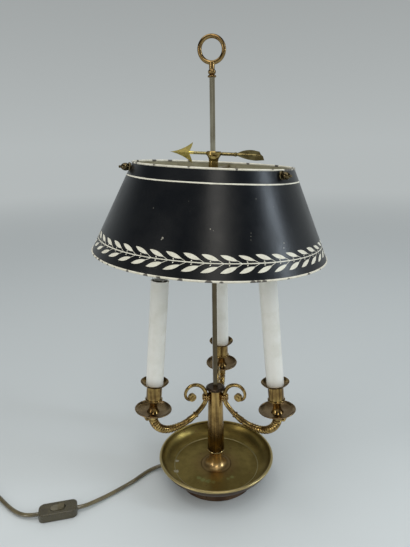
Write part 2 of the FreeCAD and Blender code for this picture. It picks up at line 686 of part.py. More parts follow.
stub_bore = rod_between((0, 0, arm_root_height), (ARM_ROOT + WIRE_CHANNEL, 0, arm_root_height), WIRE_CHANNEL)
channel = drawn(arm_path, [(0, WIRE_CHANNEL), (arm_length, WIRE_CHANNEL)])

arm = lower_arm
for casting in (at_candle_top(leaf_cup), at_candle_top(leaf_curl), scroll, button, button_boss, stub):
    arm = arm.fuse(casting)
for hollow in (channel, stub_bore, at_candle_top(stem_socket), at_candle_top(screw_hole)):
    arm = arm.cut(hollow)

band_bore = ARM_SLENDER + BAND_GAP
band = turned([
    (band_bore, -BAND_HEIGHT / 2), (BAND_RADIUS - BAND_GROOVE, -BAND_HEIGHT / 2),
    ((BAND_RADIUS, -BAND_HEIGHT / 4), (BAND_RADIUS - BAND_GROOVE, 0)),
    ((BAND_RADIUS, BAND_HEIGHT / 4), (BAND_RADIUS - BAND_GROOVE, BAND_HEIGHT / 2)),
    (band_bore, BAND_HEIGHT / 2)])
band.translate(V(ARM_ROOT, 0, arm_root_height))
band = band.cut(rod_between((0, 0, arm_root_height), (ARM_ROOT, 0, arm_root_height), STUB_RADIUS + SEAT))
band = band.cut(Part.makeCone(COLUMN_FOOT_RADIUS + SEAT, COLUMN_TOP_RADIUS + SEAT, COLUMN_TOP - column_low,
                              V(0, 0, column_low)))

# Candles: pan, cup, card sleeve, stem, lamp holder and bulb, on one leaning axis
pan_flat = -PAN_DEPTH + PAN_WALL
stem_hole = STEM_RADIUS + SEAT
pan = turned([
    (stem_hole, -PAN_DEPTH), (PAN_FLAT_RADIUS, -PAN_DEPTH),
    ((PAN_CURVE[0], PAN_CURVE[1]), (PAN_RADIUS - PAN_WALL / 2, -PAN_WALL)),
    (PAN_RADIUS - PAN_WALL / 2, 0),
    ((PAN_CURVE[0], PAN_CURVE[1] + PAN_WALL), (PAN_FLAT_RADIUS, pan_flat)), (stem_hole, pan_flat)])
pan = pan.fuse(Part.makeTorus(PAN_RADIUS - PAN_BEAD, PAN_BEAD, V(0, 0, -PAN_BEAD))).removeSplitter()
cup_inside = CUP_RADIUS - CUP_WALL
cup_floor = CUP_BARREL_BOTTOM + CUP_WALL
ledge = CUP_BARREL_TOP + CUP_WALL
ledge_radius = SLEEVE_RADIUS + CLEAR
bead_rise = CUP_FOOT_HEIGHT / 2
cup = turned([
    (stem_hole, pan_flat), (CUP_NECK_FOOT, pan_flat),
    ((CUP_NECK_WAIST, (pan_flat + CUP_BARREL_BOTTOM) / 2), (CUP_NECK_TOP, CUP_BARREL_BOTTOM)),
    (CUP_FOOT_RADIUS - bead_rise / 2, CUP_BARREL_BOTTOM),
    ((CUP_FOOT_RADIUS, CUP_BARREL_BOTTOM + bead_rise), (CUP_RADIUS, CUP_BARREL_BOTTOM + CUP_FOOT_HEIGHT)),
    (CUP_RADIUS, CUP_BARREL_TOP), (CUP_LIP_CURVE, (CUP_LIP_RADIUS, CUP_LIP_HEIGHT)),
    (CUP_LIP_RADIUS - CUP_WALL, CUP_LIP_HEIGHT),
    ((CUP_LIP_CURVE[0] - CUP_WALL / 2, CUP_LIP_CURVE[1] + CUP_WALL), (ledge_radius, ledge)),
    (cup_inside, ledge), (cup_inside, cup_floor), (stem_hole, cup_floor)])
sleeve = ring(SLEEVE_RADIUS, SLEEVE_RADIUS - SLEEVE_WALL, ledge, SLEEVE_TOP)
holder_top = SLEEVE_TOP - HOLDER_BELOW_TOP
holder_low = holder_top - HOLDER_LENGTH
stem_low = -PAN_DEPTH - STEM_DEPTH
stem = ring(STEM_RADIUS, STEM_BORE, stem_low, holder_low)
lock_nut = hexagon(LOCK_NUT_FLATS, cup_floor, cup_floor + LOCK_NUT_HEIGHT, stem_hole)
cap_low = holder_top - LAMP_CAP_LENGTH
holder = ring(HOLDER_RADIUS, LAMP_CAP_RADIUS + SEAT, cap_low, holder_top)
holder = holder.fuse(ring(HOLDER_RADIUS, STEM_BORE, holder_low, cap_low)).removeSplitter()
lamp_cap = Part.makeCylinder(LAMP_CAP_RADIUS, LAMP_CAP_LENGTH, V(0, 0, cap_low))


def bulb_outline(inset):
    """Flame-shaped glass, drawn inside its outer surface by an inset."""
    widest = (BULB_RADIUS - inset, holder_top + BULB_BELLY_SHARE * BULB_LENGTH)
    tip = holder_top + BULB_LENGTH - inset
    low = holder_top + inset
    shoulder = (BULB_SHOULDER - inset, holder_top + BULB_LENGTH * BULB_SHOULDER_SHARE)
    lower = (BULB_LOWER - inset, holder_top + BULB_LENGTH * BULB_LOWER_SHARE)
    return [(0, low), (BULB_NECK_RADIUS - inset, low), (lower, widest), (shoulder, (BULB_TIP, tip)), (0, tip)]


bulb = turned(bulb_outline(0)).cut(turned(bulb_outline(GLASS_WALL)))
axis_wire = Part.makeCylinder(WIRE_RADIUS, holder_low - cup_low, V(0, 0, cup_low))
root_point = V(ARM_ROOT, 0, arm_root_height)
arm_wire = drawn(arm_path, [(0, WIRE_RADIUS), (arm_length, WIRE_RADIUS)]).fuse([
    at_candle_top(axis_wire), Part.makeSphere(WIRE_RADIUS, root_point),
    rod_between(stub_inner, root_point, WIRE_RADIUS)])

for place, azimuth in ARM_TURNS.items():
    save("arm_" + place, at_azimuth(arm, azimuth))
    save("drip_pan_" + place, on_candle(pan, azimuth))
    save("candle_cup_" + place, on_candle(cup, azimuth))
    save("candle_sleeve_" + place, on_candle(sleeve, azimuth))
azimuths = ARM_TURNS.values()
save("lamp_holders", *[on_candle(holder, azimuth) for azimuth in azimuths])
save("bulb_glasses", *[on_candle(bulb, azimuth) for azimuth in azimuths])
save("bulb_caps", *[on_candle(lamp_cap, azimuth) for azimuth in azimuths])
save("binding_bands", *[at_azimuth(band, azimuth) for azimuth in azimuths])
save("arm_set_screws", *[on_candle(set_screw, azimuth) for azimuth in azimuths])
save("candle_stems", *[on_candle(stem, azimuth) for azimuth in azimuths])
save("cup_lock_nuts", *[on_candle(lock_nut, azimuth) for azimuth in azimuths])
save("arm_wires", *[at_azimuth(arm_wire, azimuth) for azimuth in azimuths])

# Shade carriage: hub bored along the rod, three-spoke spider, shade, rims and nuts
shade_slope = (SHADE_BOTTOM_RADIUS - SHADE_TOP_RADIUS) / (SHADE_TOP - SHADE_BOTTOM)
stud_height = SHADE_TOP - KNOB_DROP
rod_bore = square_bar(ROD_SIDE + 2 * ROD_CLEARANCE, 0, ROD_TOP, ROD_TURN)


def shade_radius(height):
    return SHADE_BOTTOM_RADIUS - shade_slope * (height - SHADE_BOTTOM)


spider_low = stud_height - SPIDER_RING_HEIGHT / 2
lip_low = HUB_TOP - HUB_LIP
hub = turned([
    (0, HUB_BOTTOM), (HUB_SHOULDER_RADIUS, HUB_BOTTOM), (HUB_SHOULDER_RADIUS, spider_low),
    (HUB_RADIUS, spider_low), (HUB_RADIUS, HUB_FLARE_START),
    ((HUB_RADIUS + HUB_FLARE_BOW, (HUB_FLARE_START + lip_low) / 2 + HUB_FLARE_BOW), (HUB_FLARE_RADIUS, lip_low)),
    (HUB_FLARE_RADIUS, HUB_TOP - HUB_ROUND), (HUB_FLARE_RADIUS - HUB_ROUND, HUB_TOP), (0, HUB_TOP)])
rod_offset = ARROW_HEIGHT * math.tan(math.radians(CARRIAGE_LEAN))
rod_reach = ROD_SIDE / 2 * (math.cos(math.radians(ROD_TURN)) + math.sin(math.radians(ROD_TURN)))
head_shank_end = -rod_offset - rod_reach - ROD_CLEARANCE - CLEAR
tip_end = -rod_offset + rod_reach + SCREW_TIP_GAP
hub = hub.cut([
    rod_between((-2 * HUB_FLARE_RADIUS, 0, ARROW_HEIGHT), (0, 0, ARROW_HEIGHT), ARROW_SHANK_RADIUS + SEAT),
    rod_between((0, 0, ARROW_HEIGHT), (2 * HUB_FLARE_RADIUS, 0, ARROW_HEIGHT), ARROW_SHANK_RADIUS + PIVOT_FIT)])
save("shade_hub", on_carriage(hub).cut(rod_bore))

wall_half = SHADE_WALL / 2
shell_out = wall_half - RIM_WIRE
shell_low = SHADE_BOTTOM + RIM_WIRE
shell_high = SHADE_TOP - RIM_WIRE
shell_outline = outline([
    (shade_radius(shell_low) - RIM_WIRE - wall_half, shell_low),
    (shade_radius(shell_low) - RIM_WIRE + wall_half, shell_low),
    (shade_radius(shell_high) - RIM_WIRE + wall_half, shell_high),
    (shade_radius(shell_high) - RIM_WIRE - wall_half, shell_high)])
shell = Part.Face(shell_outline).revolve(V(0, 0, 0), UP, 360)


def rim_wire(height):
    """Wire rolled round the sheet's edge: a round section less the sheet inside it."""
    section = Part.Circle(V(shade_radius(height) - RIM_WIRE, 0, height), V(0, 1, 0), RIM_WIRE).toShape()
    return Part.Face(Part.Wire(section)).cut(Part.Face(shell_outline)).revolve(V(0, 0, 0), UP, 360)


outer_face = shade_radius(stud_height) + shell_out
spider = ring(SPIDER_RING_RADIUS, HUB_RADIUS + SEAT, spider_low, spider_low + SPIDER_RING_HEIGHT)
knobs = []
shade_body = Part.makeCone(shade_radius(shell_low) + shell_out, shade_radius(shell_high) + shell_out,
                           shell_high - shell_low, V(0, 0, shell_low))
knob = turned([
    (0, 0), (KNOB_RADIUS, 0), ((KNOB_RADIUS + KNOB_ROUND, KNOB_BASE / 2), (KNOB_RADIUS, KNOB_BASE)),
    (KNOB_RADIUS - KNOB_ROUND, KNOB_BASE),
    ((KNOB_RADIUS, KNOB_LENGTH * KNOB_BELLY_SHARE), (KNOB_TIP, KNOB_LENGTH - 2 * KNOB_TIP)),
    ((KNOB_TIP + KNOB_ROUND / 2, KNOB_LENGTH - KNOB_TIP), (KNOB_POINT, KNOB_LENGTH)), (0, KNOB_LENGTH)])
knob = knob.cut(Part.makeCylinder(SPOKE_RADIUS + SEAT, STUD_LENGTH + CLEAR))
knob.rotate(V(0, 0, 0), V(0, 1, 0), 90)
knob.translate(V(outer_face, 0, stud_height))
for azimuth in KNOB_TURNS:
    spoke = rod_between((HUB_RADIUS + 1, 0, stud_height), (outer_face + STUD_LENGTH, 0, stud_height), SPOKE_RADIUS)
    spider = spider.fuse(at_azimuth(spoke, azimuth))
    stud_hole = rod_between((outer_face - KNOB_LENGTH, 0, stud_height), (outer_face + STUD_LENGTH, 0, stud_height),
                            SPOKE_RADIUS + SEAT)
    shell = shell.cut(at_azimuth(stud_hole, azimuth))
    knobs.append(on_carriage(at_azimuth(knob, azimuth).cut(shade_body)))
save("shade_spider", on_carriage(spider.removeSplitter()))
save("shade_shell", on_carriage(shell))
save("shade_rim_bottom", on_carriage(rim_wire(shell_low)))
save("shade_rim_top", on_carriage(rim_wire(shell_high)))
save("shade_nuts", *knobs)

# Arrow: the head is fixed in the hub, the feathered tail is the clamp screw
def arrow_plate(points, thick):
    face = Part.Face(outline(points))
    plate = face.extrude(V(0, thick, 0))
    plate.translate(V(0, -thick / 2, ARROW_HEIGHT))
    return plate


head_out = ((HEAD_TIP * HEAD_EDGE_SHARES[0] + HEAD_BARB * (1 - HEAD_EDGE_SHARES[0])), HEAD_BARB_HEIGHT * HEAD_EDGE_SHARES[1])
head_in = ((HEAD_NOTCH + HEAD_BARB) / 2 + HEAD_INNER_BOW, HEAD_BARB_HEIGHT / 2 - HEAD_INNER_BOW)
head_blank = arrow_plate([
    (HEAD_TIP, 0), (head_out, (HEAD_BARB, HEAD_BARB_HEIGHT)), (head_in, (HEAD_NOTCH, 0)),
    ((head_in[0], -head_in[1]), (HEAD_BARB, -HEAD_BARB_HEIGHT)), ((head_out[0], -head_out[1]), (HEAD_TIP, 0))],
    4 * HEAD_RIDGE)


def diamond(place, half_thick, half_height):
    """Four-cornered section across the arrow, widest at its middle."""
    corners = [V(place, -half_thick, ARROW_HEIGHT), V(place, 0, ARROW_HEIGHT + half_height),
               V(place, half_thick, ARROW_HEIGHT), V(place, 0, ARROW_HEIGHT - half_height)]
    return Part.makePolygon(corners + corners[:1])


head_ends = [diamond(HEAD_TIP - HEAD_RIDGE, HEAD_TIP_THICK, HEAD_TIP_THICK + HEAD_RIDGE),
             diamond(HEAD_BARB + HEAD_RIDGE, HEAD_RIDGE, HEAD_FACET)]
arrow_head = head_blank.common(Part.makeLoft(head_ends, True, True))
arrow_head = arrow_head.fuse([
    rod_between((HEAD_NOTCH, 0, ARROW_HEIGHT), (-HUB_FLARE_RADIUS - SEAT, 0, ARROW_HEIGHT), ARROW_SHAFT_RADIUS),
    rod_between((-HUB_FLARE_RADIUS - SEAT, 0, ARROW_HEIGHT), (head_shank_end, 0, ARROW_HEIGHT),
                ARROW_SHANK_RADIUS)])
save("arrow_head", on_carriage(arrow_head.removeSplitter()))

tail_start = HUB_FLARE_RADIUS + CLEAR
tail_plate = arrow_plate([
    (TAIL_BEAD + 1, TAIL_SHAFT_RADIUS / 2), ((TAIL_BEAD + TAIL_FULL, TAIL_HEIGHT - 0.7), (TAIL_BEAD + 2 * TAIL_FULL, TAIL_HEIGHT)),
    (TAIL_END - TAIL_NOTCH - 2, TAIL_HEIGHT - 1.5), (TAIL_END - TAIL_NOTCH, 1.5), (TAIL_END - 2, -0.8),
    (TAIL_END, -TAIL_HEIGHT + 0.4), (TAIL_END - 2 * TAIL_NOTCH, -TAIL_HEIGHT - 0.6),
    ((TAIL_BEAD + TAIL_FULL, -TAIL_HEIGHT + 1.5), (TAIL_BEAD + 1, -TAIL_SHAFT_RADIUS / 2))], TAIL_PLATE)
arrow_tail = tail_plate.fuse([
    cone_between((TAIL_BEAD, 0, ARROW_HEIGHT), (TAIL_END - TAIL_NOTCH, 0, ARROW_HEIGHT), TAIL_SHAFT_RADIUS, 1.0),
    Part.makeSphere(TAIL_BEAD_RADIUS, V(TAIL_BEAD, 0, ARROW_HEIGHT)),
    rod_between((tail_start, 0, ARROW_HEIGHT), (TAIL_BEAD, 0, ARROW_HEIGHT), TAIL_SHAFT_RADIUS),
    rod_between((tip_end, 0, ARROW_HEIGHT), (tail_start, 0, ARROW_HEIGHT), ARROW_SHANK_RADIUS)])
save("arrow_tail", on_carriage(arrow_tail.removeSplitter()))

# Gland in the foot wall, lead tail, terminal block and the wires up the tube
foot_filled = turned([
    (0, 0), (FOOT_RADIUS, 0), ((half_radius, half_height), (FOOT_TOP_RADIUS, dish_under)), (0, dish_under)])
gland_flange = rod_between((FOOT_RADIUS - FOOT_WALL, 0, LEAD_HEIGHT), (LEAD_EXIT, 0, LEAD_HEIGHT), GLAND_RADIUS)
gland_neck = rod_between((WEIGHT_RADIUS + CLEAR, 0, LEAD_HEIGHT), (LEAD_EXIT, 0, LEAD_HEIGHT),
                         GLAND_NECK_RADIUS - SEAT)
gland_bore = rod_between((FOOT_FLANGE_INNER, 0, LEAD_HEIGHT), (DISH_RIM_RADIUS, 0, LEAD_HEIGHT), lead_radius + SEAT)
save("cord_gland", along_lead(gland_flange.cut(foot_filled).fuse(gland_neck).cut(gland_bore)))
terminal_face = TERMINAL_PLACE + BLOCK_TERMINAL[0] / 2
terminal_back = TERMINAL_PLACE - BLOCK_TERMINAL[0] / 2
save("lead_tail", along_lead(rod_between((terminal_face, 0, LEAD_HEIGHT), (LEAD_EXIT, 0, LEAD_HEIGHT), lead_radius)))
save("terminal_block", along_lead(block(BLOCK_TERMINAL, (TERMINAL_PLACE, 0, LEAD_HEIGHT))))
wire_level = WIRE_SLOT_LOW + WIRE_SLOT
wire_points = [(terminal_back, 0, wire_level - WIRE_SLOT / 2), (terminal_back - 7, 0, wire_level), (0, 0, wire_level),
               (0, 0, tube_top + WIRE_SLOT)]
save("lead_wires", along_lead(lead_tube(wire_points, LEAD_WIRES_RADIUS, "lead wires")))


# In-line switch, built along X and centred on its own place
def slab(length, width, corner, low, high):
    body = block((length, width, high - low), (0, 0, (low + high) / 2))
    upright = [edge for edge in body.Edges if abs(edge.Vertexes[0].Z - edge.Vertexes[1].Z) > 0.5 * (high - low)]
    return body.makeFillet(corner, upright)


def rounded(body, height, radius):
    """Fillet the edges that lie at one height."""
    rim = [edge for edge in body.Edges if abs(edge.BoundBox.ZMin - height) < 1e-4 and
           abs(edge.BoundBox.ZMax - height) < 1e-4]
    return body.makeFillet(radius, rim)


cavity_size = (SWITCH_LENGTH - 2 * SWITCH_WALL, SWITCH_WIDTH - 2 * SWITCH_WALL, SWITCH_CORNER - SWITCH_WALL)
cavity_top = SWITCH_HEIGHT - SWITCH_WALL
lead_level = SWITCH_HEIGHT / 2
end_holes = rod_between((-SWITCH_LENGTH, 0, lead_level), (SWITCH_LENGTH, 0, lead_level), lead_radius + SEAT)
screw_places = [(SWITCH_SCREW_SPREAD, SWITCH_SCREW_ACROSS), (-SWITCH_SCREW_SPREAD, -SWITCH_SCREW_ACROSS)]
base_shell = rounded(slab(SWITCH_LENGTH, SWITCH_WIDTH, SWITCH_CORNER, 0, SWITCH_SPLIT), 0, SWITCH_EDGE / 2)
base_shell = base_shell.cut(slab(*cavity_size, SWITCH_WALL, SWITCH_SPLIT + 1)).cut(end_holes)
cover = rounded(slab(SWITCH_LENGTH, SWITCH_WIDTH, SWITCH_CORNER, SWITCH_SPLIT, SWITCH_HEIGHT), SWITCH_HEIGHT,
                SWITCH_EDGE)
cover = cover.cut(slab(*cavity_size, SWITCH_SPLIT - 1, cavity_top)).cut(end_holes)
opening_size = (ROCKER_LENGTH + 2 * ROCKER_GAP, ROCKER_WIDTH + 2 * ROCKER_GAP)
cover = cover.cut(slab(*opening_size, opening_size[1] / 2 - 0.01, SWITCH_SPLIT, SWITCH_HEIGHT + 1))
screws = []
for x, y in screw_places:
    post_low = Part.makeCylinder(SWITCH_POST_RADIUS, SWITCH_SPLIT - SWITCH_WALL, V(x, y, SWITCH_WALL))
    post_high = Part.makeCylinder(SWITCH_POST_RADIUS, cavity_top - SWITCH_SPLIT, V(x, y, SWITCH_SPLIT))
    shank = Part.makeCylinder(SWITCH_SCREW_RADIUS, SWITCH_SPLIT + SWITCH_WALL, V(x, y, SWITCH_WALL))
    head = Part.makeCylinder(SWITCH_HEAD_RADIUS, SWITCH_WALL, V(x, y, CLEAR))
    hole = Part.makeCylinder(SWITCH_SCREW_RADIUS + SEAT, 2 * SWITCH_SPLIT, V(x, y, 0))
    sink = Part.makeCylinder(SWITCH_HEAD_RADIUS + SEAT, SWITCH_WALL + CLEAR, V(x, y, 0))
    base_shell = base_shell.fuse(post_low).cut(hole).cut(sink)
    cover = cover.fuse(post_high).cut(hole)
    screws.append(on_switch(head.fuse(shank).removeSplitter()))
lug_place = opening_size[1] / 2 + SWITCH_WALL / 2 + CLEAR / 2
for side in (-1, 1):
    lug_size = (4 * ROCKER_PIN_RADIUS, SWITCH_WALL, cavity_top - ROCKER_PIN_HEIGHT + 2 * ROCKER_PIN_RADIUS)
    cover = cover.fuse(block(lug_size, (0, side * lug_place, cavity_top - lug_size[2] / 2)))
pin_reach = lug_place + SWITCH_WALL / 2
pin = rod_between((0, -pin_reach, ROCKER_PIN_HEIGHT), (0, pin_reach, ROCKER_PIN_HEIGHT), ROCKER_PIN_RADIUS)
pin_hole = rod_between((0, -pin_reach, ROCKER_PIN_HEIGHT), (0, pin_reach, ROCKER_PIN_HEIGHT),
                       ROCKER_PIN_RADIUS + SEAT)
cover = cover.cut(pin_hole).removeSplitter()
rocker_low = ROCKER_PIN_HEIGHT - ROCKER_PIN_RADIUS - 0.4
rocker_high = SWITCH_HEIGHT + ROCKER_PROUD
rocker = slab(ROCKER_LENGTH, ROCKER_WIDTH, ROCKER_WIDTH / 2 - 0.01, rocker_low, rocker_high)
half_travel = math.radians(ROCKER_TURN / 2)
for side in (-1, 1):
    far = side * ROCKER_LENGTH
    dip = rocker_high - ROCKER_LENGTH / 2 * math.tan(half_travel)
    wedge = Part.Face(outline([
        (0, dip), (far, dip + ROCKER_LENGTH * math.tan(half_travel)), (far, dip + ROCKER_LENGTH),
        (0, dip + ROCKER_LENGTH)])).extrude(V(0, 2 * ROCKER_WIDTH, 0))
    wedge.translate(V(0, -ROCKER_WIDTH, 0))
    rocker = rocker.cut(wedge)
rocker = rocker.cut(rod_between((0, -ROCKER_WIDTH, ROCKER_PIN_HEIGHT), (0, ROCKER_WIDTH, ROCKER_PIN_HEIGHT),
                                ROCKER_PIN_RADIUS + PIVOT_FIT))
rocker.rotate(V(0, 0, ROCKER_PIN_HEIGHT), V(0, 1, 0), -ROCKER_TURN / 2)
stubs = [on_switch(rod_between((side * SWITCH_LENGTH / 2, 0, lead_level), (side * SWITCH_STUB_END, 0, lead_level),
                               lead_radius)) for side in (-1, 1)]
contact_place = ROCKER_LENGTH / 3
contacts = [on_switch(block((CONTACT_SIZE, CONTACT_SIZE, SWITCH_SPLIT - SWITCH_WALL),
                            (side * contact_place, 0, (SWITCH_WALL + SWITCH_SPLIT) / 2))) for side in (-1, 1)]
save("switch_base", on_switch(base_shell))
save("switch_cover", on_switch(cover))
save("switch_rocker", on_switch(rocker))
save("switch_rocker_pin", on_switch(pin))
save("switch_screws", *screws)
save("switch_lead_ends", *stubs)
save("switch_contacts", *contacts)

# Lead: from the foot to the switch, on to the coil, the coil itself, and from the coil to the plug
switch_axis = V(math.cos(math.radians(SWITCH_TURN)), math.sin(math.radians(SWITCH_TURN)), 0)
switch_middle = V(SWITCH_PLACE[0], SWITCH_PLACE[1], lead_level)
switch_right = switch_middle + switch_axis * (SWITCH_LENGTH / 2)
switch_left = switch_middle - switch_axis * (SWITCH_LENGTH / 2)
lead_start = lead_out * LEAD_EXIT + UP * LEAD_HEIGHT
base_run = [lead_start, lead_start + lead_out * LEAD_FIRST_RUN]
base_run += [V(*point) for point in BASE_ROUTE]
base_run += [switch_right + switch_axis * SWITCH_STRAIGHT, switch_right]
save("cord_base_run", lead_tube(base_run, lead_radius, "base run"))

ahead = V(COIL_HEADING[0], COIL_HEADING[1], 0).normalize()
side_way = V(ahead.y, -ahead.x, 0)
coil_first = V(COIL_START[0], COIL_START[1], lead_radius)
coil_middle = coil_first - side_way * COIL_OUTER
straight = LEAD_DIAMETER
switch_run = [switch_left, switch_left - switch_axis * SWITCH_STRAIGHT]
switch_run += [V(*point) for point in SWITCH_ROUTE]
switch_run += [coil_first - ahead * (straight + COIL_ENTRY_RUN), coil_first - ahead * straight]
save("cord_switch_run", lead_tube(switch_run, lead_radius, "switch run"))


def half_turn(start, end, heading):
    """Arc from start to end on the side of the heading."""
    middle = (start + end) * 0.5
    return Part.Arc(start, middle + heading * (V(start.x - end.x, start.y - end.y, 0).Length / 2), end).toShape()


reaches = [COIL_OUTER - k * COIL_PITCH / 2 for k in range(COIL_HALF_TURNS + 1)]
layers = [(reach, 0) for reach in reaches] + [(reach, COIL_LAYER) for reach in reversed(reaches)]
coil_edges = [Part.LineSegment(coil_first - ahead * straight, coil_first).toShape()]
way = 1
here = coil_first
for reach, lift in layers[1:]:
    there = coil_middle - side_way * (way * reach) + UP * lift
    coil_edges.append(half_turn(here, there, ahead * way))
    here = there
    way = -way
coil_last = here + ahead * (way * straight)
coil_edges.append(Part.LineSegment(here, coil_last).toShape())
coil_path = Part.Wire(coil_edges)
coil_profile = Part.Wire(Part.Circle(coil_first - ahead * straight, ahead, lead_radius).toShape())
coil = coil_path.makePipeShell([coil_profile], True, False)
coil_points = coil_path.discretize(Distance=2.0)
coil_gap = min((a - b).Length for i, a in enumerate(coil_points) for b in coil_points[i + 10:]) - LEAD_DIAMETER
print("coil length", round(coil_path.Length, 1), "least gap", round(coil_gap, 2),
      "volume over section times length",
      round(coil.Volume / (math.pi * lead_radius ** 2 * coil_path.Length), 4))
save("cord_coil", coil)

leaving = ahead * way
plug_run = [coil_last]
for along, aside, height in PLUG_ROUTE:
    plug_run.append(V(here.x, here.y, height) + leaving * along - side_way * aside)
save("cord_plug_run", lead_tube(plug_run, lead_radius, "plug run"))

# Flat two-pin plug lying on the table
plug_start = plug_run[-1]
plug_ahead = (plug_run[-1] - plug_run[-2]).normalize()
plug_back = PLUG_TAIL_LENGTH + PLUG_LENGTH
half_plug = PLUG_WIDTH / 2
half_neck = PLUG_NECK_WIDTH / 2
plan = [(PLUG_TAIL_LENGTH, -half_neck), (PLUG_TAIL_LENGTH + half_neck, -half_plug), (plug_back, -half_plug),
        (plug_back, half_plug), (PLUG_TAIL_LENGTH + half_neck, half_plug), (PLUG_TAIL_LENGTH, half_neck),
        (PLUG_TAIL_LENGTH, -half_neck)]
plug = Part.Face(Part.makePolygon([V(x, y, -PLUG_THICK / 2) for x, y in plan])).extrude(V(0, 0, PLUG_THICK))
plug = plug.makeFillet(PLUG_EDGE, plug.Edges)
tail = cone_between((0, 0, 0), (PLUG_TAIL_LENGTH + PLUG_EDGE, 0, 0), PLUG_TAIL_THIN, PLUG_TAIL_RADIUS)
plug = plug.fuse(tail)
pins = []


def on_plug(shape):
    placed = shape.copy()
    placed.rotate(V(0, 0, 0), UP, math.degrees(math.atan2(plug_ahead.y, plug_ahead.x)))
    placed.translate(plug_start)
    return placed


for side in (-1, 1):
    pin_y = side * PIN_SPACING / 2
    pin_root = plug_back - PIN_SEATED
    plug = plug.cut(rod_between((pin_root, pin_y, 0), (plug_back + 1, pin_y, 0), PIN_RADIUS + SEAT))
    plug_pin = rod_between((pin_root, pin_y, 0), (plug_back + PIN_LENGTH, pin_y, 0), PIN_RADIUS)
    pins.append(on_plug(plug_pin.makeFillet(PIN_RADIUS / 2, plug_pin.Edges[0:1])))
save("plug_body", on_plug(plug.removeSplitter()))
save("plug_pins", *pins)
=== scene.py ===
import math
import random
import bmesh
import bpy
from mathutils import Matrix, Vector


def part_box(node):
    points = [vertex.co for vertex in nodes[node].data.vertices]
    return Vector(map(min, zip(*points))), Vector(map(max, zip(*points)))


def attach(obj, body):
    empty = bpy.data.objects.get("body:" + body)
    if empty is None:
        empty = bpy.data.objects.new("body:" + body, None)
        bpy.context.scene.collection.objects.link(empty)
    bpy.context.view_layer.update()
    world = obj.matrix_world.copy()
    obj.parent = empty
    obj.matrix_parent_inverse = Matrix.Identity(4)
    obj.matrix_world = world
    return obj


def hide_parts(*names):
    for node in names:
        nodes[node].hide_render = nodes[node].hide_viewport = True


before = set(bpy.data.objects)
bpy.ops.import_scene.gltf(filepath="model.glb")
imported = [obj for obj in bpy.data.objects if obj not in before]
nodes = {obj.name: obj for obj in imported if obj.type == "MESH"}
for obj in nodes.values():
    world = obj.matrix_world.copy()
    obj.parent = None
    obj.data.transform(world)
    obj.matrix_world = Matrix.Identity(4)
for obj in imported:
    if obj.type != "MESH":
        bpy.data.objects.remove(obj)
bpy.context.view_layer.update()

# Camera: a phone held a little above the shade's top rim and tipped down at the foot.
# Its place and lens come from the outlines of foot, dish, candles, rims and rod.
camera_place = Vector((0.0, -0.6381, 0.51466))
camera_pitch, camera_yaw, camera_roll = math.radians(15.52), 0.0203, -0.0162
focal_length_px, photo_height_px = 464.12, 547
sensor_height = 36.0


def link(obj):
    """Put an object into the scene."""
    bpy.context.scene.collection.objects.link(obj)
    return obj


forward = Vector((-math.sin(camera_yaw) * math.cos(camera_pitch),
                  math.cos(camera_yaw) * math.cos(camera_pitch), -math.sin(camera_pitch)))
level_right = Vector((math.cos(camera_yaw), math.sin(camera_yaw), 0.0))
level_up = level_right.cross(forward)
right = math.cos(camera_roll) * level_right + math.sin(camera_roll) * level_up
up = -math.sin(camera_roll) * level_right + math.cos(camera_roll) * level_up
camera_data = bpy.data.cameras.new("camera")
camera_data.sensor_fit = "VERTICAL"
camera_data.sensor_height = sensor_height
camera_data.lens = focal_length_px / photo_height_px * sensor_height
camera_data.clip_end = 40.0
camera = link(bpy.data.objects.new("camera", camera_data))
camera_turn = Matrix((right, up, -forward)).transposed().to_4x4()
camera.matrix_world = Matrix.Translation(camera_place) @ camera_turn
bpy.context.scene.camera = camera
bpy.context.scene.view_settings.view_transform = "Standard"

# Table: a pale matt board, a little darker at the back, that fades into the backdrop's own grey
# far from the lamp, so that no edge shows between them.
table_near, table_far = (0.60, 0.628, 0.622), (0.505, 0.53, 0.525)
table_near_y, table_far_y = -0.12, 0.16
backdrop_low, backdrop_high = (0.455, 0.485, 0.487), (0.345, 0.365, 0.365)
fade_start, fade_end = 1.2, 5.0
table_radius, table_drop = 14.0, 0.0004


def new_material(name):
    """A material with an empty node tree."""
    material = bpy.data.materials.new(name)
    material.use_nodes = True
    material.node_tree.nodes.clear()
    return material


def add_node(tree, kind, inputs=None, **settings):
    """A shader node with its settings. Each input is a value, or the output that feeds it."""
    node = tree.nodes.new("ShaderNode" + kind)
    for name, value in settings.items():
        setattr(node, name, value)
    for name, value in (inputs or {}).items():
        if isinstance(value, bpy.types.NodeSocket):
            tree.links.new(value, node.inputs[name])
        else:
            node.inputs[name].default_value = value
    return node


def object_place(tree):
    return add_node(tree, "TexCoord").outputs["Object"]


def place_along(tree, axis):
    return add_node(tree, "SeparateXYZ", {"Vector": object_place(tree)}).outputs[axis]


def maths(tree, operation, *terms, clamp=False):
    return add_node(tree, "Math", dict(enumerate(terms)), operation=operation, use_clamp=clamp).outputs[0]


def vector_maths(tree, operation, *terms):
    node = add_node(tree, "VectorMath", dict(enumerate(terms)), operation=operation)
    return node.outputs["Value" if operation in ("LENGTH", "DISTANCE") else "Vector"]


def ramp(tree, value, start, end, low=0.0, high=1.0, shape="SMOOTHSTEP"):
    """From low to high while a value goes from start to end."""
    limits = {"Value": value, "From Min": start, "From Max": end, "To Min": low, "To Max": high}
    return add_node(tree, "MapRange", limits, interpolation_type=shape).outputs["Result"]


def mix_values(tree, share, first, second, kind="FLOAT"):
    sides = {"Factor": share, "A": first, "B": second}
    return add_node(tree, "Mix", sides, data_type=kind).outputs["Result"]


